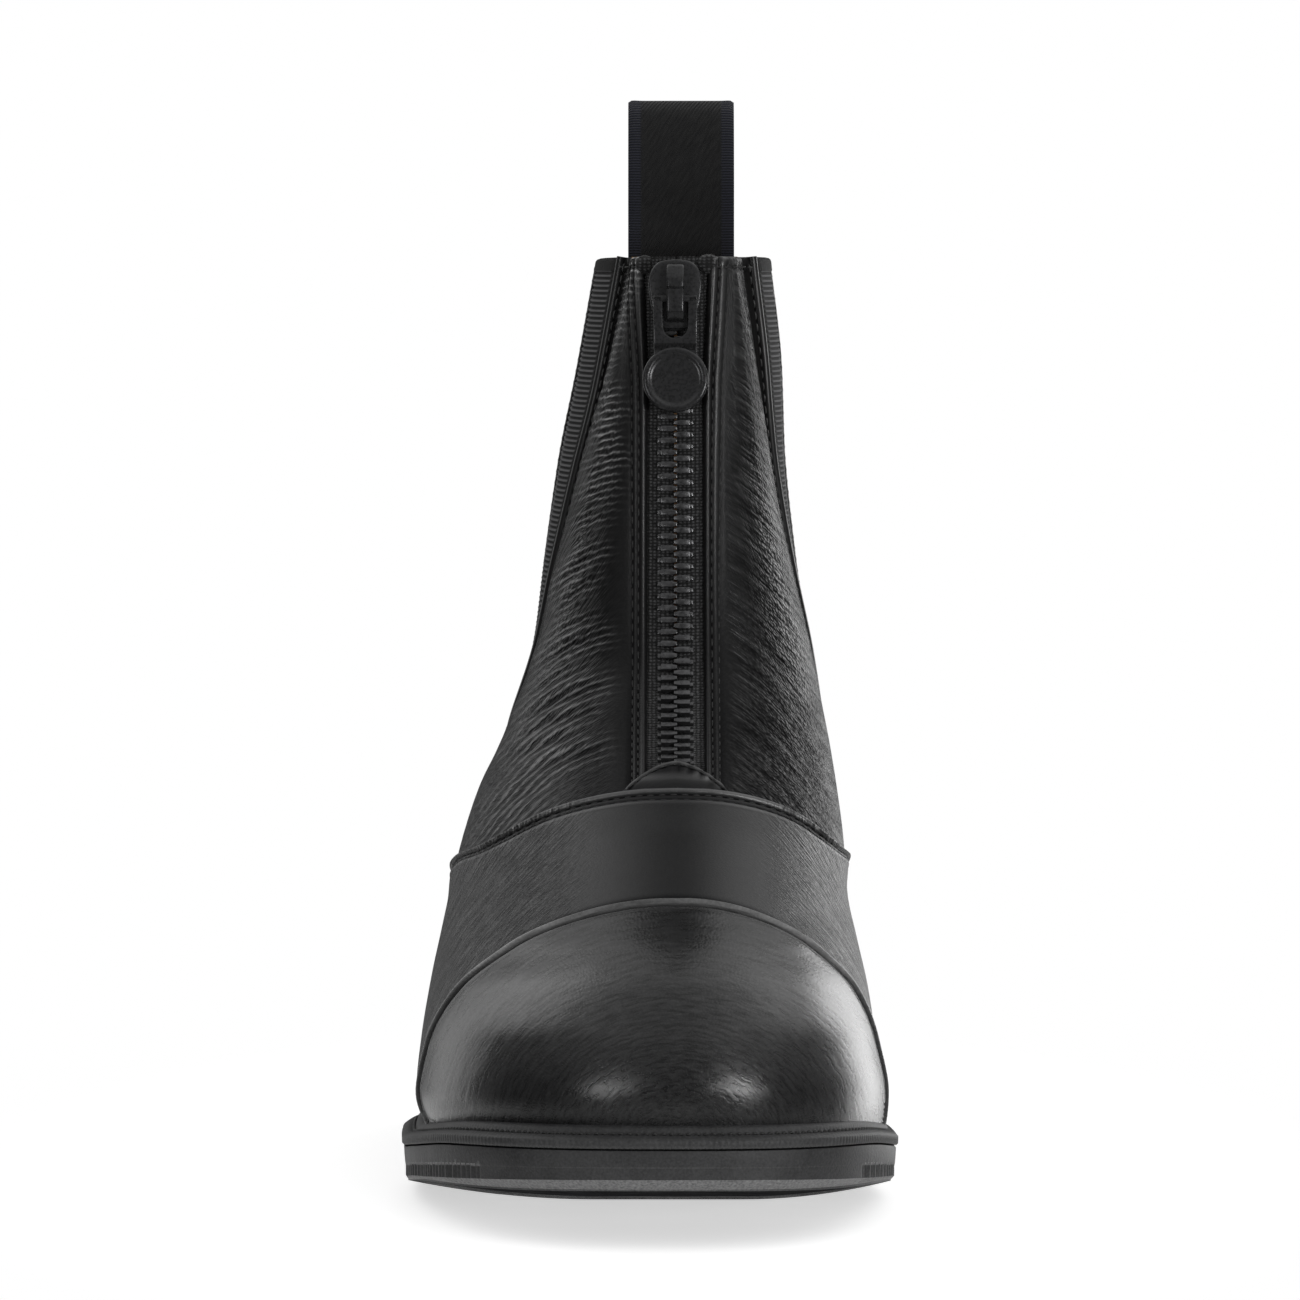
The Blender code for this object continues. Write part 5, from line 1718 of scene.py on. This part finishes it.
def build_welt():
    """Slope from the upper to a thin lip, with a notched groove that holds the stitches."""
    total = even_ring(10)[2]
    teeth = int(round(total / WELT_PITCH))
    u, where, total = even_ring(teeth * 5)
    notch = wave(where, total / teeth, 1.5)
    high = form(u, FEATHER_V, 0.1)
    low = rim(u, 0.5)
    low[:, 2] += GAP + 1.6
    across = low - high
    along = np.roll(high, -1, axis=0) - np.roll(high, 1, axis=0)
    normal = unit(np.cross(along, high - low))
    rings = []
    for share, lift, cut in WELT_PROFILE:
        rings.append(high + across * share + normal * (lift - 0.16 * cut * notch)[:, None])
    foot = rim(u, 0.45) - (rim(u, 0.45) - rim(u, 0.25)) * notch[:, None]
    foot[:, 2] += GAP + 0.3
    under = rim(u, 0.1)
    under[:, 2] += GAP
    inside = form(u, 0.0, 0.3)
    inside[:, 2] = rim_z(inside[:, 1]) + GAP
    rings += [foot, under, inside]
    faces = turned_face(ring_faces(len(rings), len(u)))
    make_piece("storm_welt", np.array(rings), faces, WELT_RUBBER, "rubber", ("welt",))
    threads = Batch()
    groove = high + across * 0.5 - normal * 0.12
    order = np.append(np.arange(len(u)), 0)
    stitch_row(threads, groove[order], normal[order], 1.15, 0.55, 0.3, 0.05)
    threads.make("welt_stitches", THREAD, "rubber")


def under_grid(ring, count, groove):
    """A sole's underside, in strips from one side to the other, with grooves pressed up into it."""
    half = len(ring) // 2
    index = np.arange(1, half)
    share = np.linspace(0, 1, count)[None, :, None]
    grid = ring[index][:, None] * (1 - share) + ring[len(ring) - index][:, None] * share
    inner = np.minimum(np.arange(count), count - 1 - np.arange(count)) > 0
    grid[..., 2] = np.where(inner[None], tread_z(grid[..., 0], grid[..., 1]), grid[..., 2])
    grid[..., 2] += groove(grid) * inner[None]
    return grid


def no_groove(grid):
    return np.zeros_like(grid[..., 0])


def box_groove(place, centre, half, soft=0.35):
    return ease((half + soft / 2 - np.abs(place - centre)) / soft)


def sole_groove(grid):
    total = np.zeros_like(grid[..., 0])
    for k, s in enumerate((52, 64, 76, 88, 100, 112)):
        reach = 26 + 2 * k
        inside = box_groove(grid[..., 0], 1.0, reach + 1.0)
        total = np.maximum(total, 1.8 * inside * box_groove(grid[..., 1], s, 1.3))
    along = grid[..., 1]
    within = ease((130.0 - along) / 6.0) * ease((along - 40.0) / 6.0)
    return np.maximum(total, 0.35 * wave(along, 3.0, 2.0) * within)


SOLE_PROFILE = (
    (-1.5, 1.0), (-0.35, 1.0), (-0.08, 0.985), (0.0, 0.93), (-0.10, 0.66), (-0.22, 0.50), (-0.28, 0.44),
    (-0.34, 0.40),
)
BEVEL_PROFILE = ((0.03, 0.97), (0.35, 0.62), (0.7, 0.28), (0.97, 0.03), (1.0, 0.0))


def toe_drop(s):
    """How far the bevel under the toe hangs below the tread."""
    return 1.7 * ease(1 - s / 60.0)


def build_outsole():
    u, where, total = even_ring(1500)
    edge = rim(u)
    corner = ease((-34.0 - edge[:, 0]) / 1.5) + ease((edge[:, 0] - 43.5) / 1.0)
    ribs = corner * ease((125.0 - edge[:, 1]) / 8.0) * wave(where, total / 330, 2.5)
    toe = ease(1 - edge[:, 1] / 95)
    bevel_tall = 0.12 - 0.06 * toe
    bevel_deep = 0.5 + 2.2 * toe
    rings = []

    def add_ring(out, share):
        line = rim(u, out)
        low = sole_z("edge", line[:, 1])
        line[:, 2] = low + share * (line[:, 2] - low)
        rings.append(line)

    for out, share in SOLE_PROFILE:
        add_ring(out - 0.7 * ribs * ease((0.52 - share) / 0.10), np.maximum(share, bevel_tall))
    for deep, tall in BEVEL_PROFILE:
        add_ring(-0.34 - 0.7 * ribs * (1 - deep) - deep * bevel_deep, tall * bevel_tall)
        rings[-1][:, 2] -= (1 - tall) * toe_drop(rings[-1][:, 1])
    foot = rings[-1]
    foot[:, 2] = tread_z(foot[:, 0], foot[:, 1]) - toe_drop(foot[:, 1])
    batch = Batch()
    batch.add(np.array(rings), grid_faces(len(rings), len(u), around=True, flip=True))
    base = under_grid(foot, 33, lambda grid: sole_groove(grid) - toe_drop(grid[..., 1]))
    batch.add(base, grid_faces(*base.shape[:2]))
    roof = under_grid(rings[0], 3, no_groove)
    roof[:, 1, 2] = (roof[:, 0, 2] + roof[:, 2, 2]) / 2
    batch.add(roof, grid_faces(*roof.shape[:2], flip=True))
    batch.make("outsole_rubber", SOLE_RUBBER, "rubber", ("outsole",), sharp=25.0)


HEEL_PROFILE = (
    (0.0, -3.0), (0.12, -2.75), (0.5, -2.6), (6.2, -2.2), (6.45, -2.3),
    (6.6, -2.75), (6.9, -2.75), (7.05, -2.3), (7.3, -2.15),
)
HEEL_BREAST = 0.618
HEEL_GAP = GAP / 2
HEEL_STRIPS = 15


def heel_groove(grid):
    total = np.zeros_like(grid[..., 0])
    inside = box_groove(grid[..., 0], 5.0, 19.0)
    for s in (216, 230, 244, 258):
        total = np.maximum(total, 1.8 * inside * box_groove(grid[..., 1], s, 1.3))
    return total


def build_heel():
    half = np.linspace(HEEL_BREAST, 1.0, 150)
    arc = np.concatenate([half, 2.0 - half[-2::-1]])
    rings = []
    for z, out in (*HEEL_PROFILE, (None, -1.2)):
        line = rim(arc, out)
        line[:, 2] = underside_z(line[:, 1]) - HEEL_GAP if z is None else z
        share = np.linspace(0, 1, 26)[1:-1, None]
        breast = line[-1] * (1 - share) + line[0] * share
        breast[:, 1] += 3.0 * np.sin(math.pi * share[:, 0])
        if z is None:
            breast[:, 2] = underside_z(breast[:, 1]) - HEEL_GAP
        rings.append(np.roll(np.concatenate([line, breast]), 12, axis=0))
    count = len(rings[0])
    batch = Batch()
    batch.add(np.array(rings), grid_faces(len(rings), count, around=True))
    inner = np.arange(HEEL_STRIPS) % (HEEL_STRIPS - 1) > 0
    for ring, below in ((rings[0], True), (rings[-1], False)):
        grid = under_grid(ring, HEEL_STRIPS, no_groove)
        grid[..., 2] = heel_groove(grid) * inner if below else underside_z(grid[..., 1]) - HEEL_GAP
        batch.add(grid, grid_faces(*grid.shape[:2], flip=not below))
    batch.make("heel_block", SOLE_RUBBER, "rubber", ("heel",), sharp=45.0)


def build_sock():
    """The insole with its cover, crowned a little along the middle."""
    half = np.linspace(0, 1, 121)
    u = np.concatenate([half, -half[-2:0:-1]])
    low = form(u, 0.0, -WALL - 2 * GAP)
    low[:, 2] = rim_z(low[:, 1]) + 2 * GAP
    edge = form(u, 0.8 * FEATHER_V, -WALL - 3 * GAP)
    edge[:, 2] = rim_z(edge[:, 1]) + GAP + 3.6
    top = form(u, 0.8 * FEATHER_V, -WALL - 3 * GAP - 0.5)
    top[:, 2] = rim_z(top[:, 1]) + GAP + 4.0
    batch = Batch()
    batch.add(np.array([low, edge, top]), grid_faces(3, len(u), around=True))
    share = np.linspace(0, 1, 21)[None, :, None]
    index = np.arange(1, len(u) // 2)
    for line, crown, flip in ((top, 0.8, False), (low, 0.0, True)):
        grid = line[index][:, None] * (1 - share) + line[len(u) - index][:, None] * share
        grid[..., 2] += crown * 4 * (share * (1 - share))[..., 0]
        batch.add(grid, grid_faces(*grid.shape[:2], flip=not flip))
    batch.make("insole_sock", LINING, "board", ("insole",))


def build_loop():
    """Webbing strap folded over, with thicker edges."""
    across = np.linspace(-LOOP_WIDE / 2, LOOP_WIDE / 2, 33)
    rows = np.linspace(0, 1, 200)
    share = np.arange(len(LOOP_ROWS)) / (len(LOOP_ROWS) - 1)
    path = {name: smooth(share, column(LOOP_ROWS, LOOP_COLUMNS, name), rows) for name in LOOP_COLUMNS}
    collar = TABLE["back_z"][-1]
    v = np.interp(np.minimum(path["z"], collar), TABLE["back_z"][11:], TABLE_V[11:])
    v_grid, dx = np.meshgrid(v, across, indexing="ij")
    wall = form(back_u(v_grid, dx), v_grid)
    middle = form(np.ones_like(v), v)
    wrap = path["wrap"][:, None]
    s = middle[:, 1:2] + (wall[..., 1] - middle[:, 1:2]) * wrap + path["off"][:, None]
    x = np.broadcast_to(TABLE["middle"][-1] + across, s.shape)
    line = np.stack([x, s, np.broadcast_to(path["z"][:, None], s.shape)], -1)
    along = np.gradient(line, axis=0)
    normal = unit(np.stack([np.zeros_like(s), -along[..., 2], along[..., 1]], -1))
    edge = LOOP_WIDE / 2 - np.abs(across)
    thick = 0.8 * LOOP_THICK / 2 - rolled(edge, 0.45) + 0.07 * bump_at(edge, 1.4, 1.1)
    offset = normal * thick[None, :, None]
    points, faces = slab(line + offset, line - offset)
    up = away_from_edges(line)["bottom"]
    flow = both_faces(np.stack([dx, up, np.zeros_like(up)], -1))
    make_piece("loop_strap", points, faces, LOOP_WEB, "webbing", ("pull_loop",), flow=flow)


build_welt()
build_outsole()
build_heel()
build_sock()
build_loop()
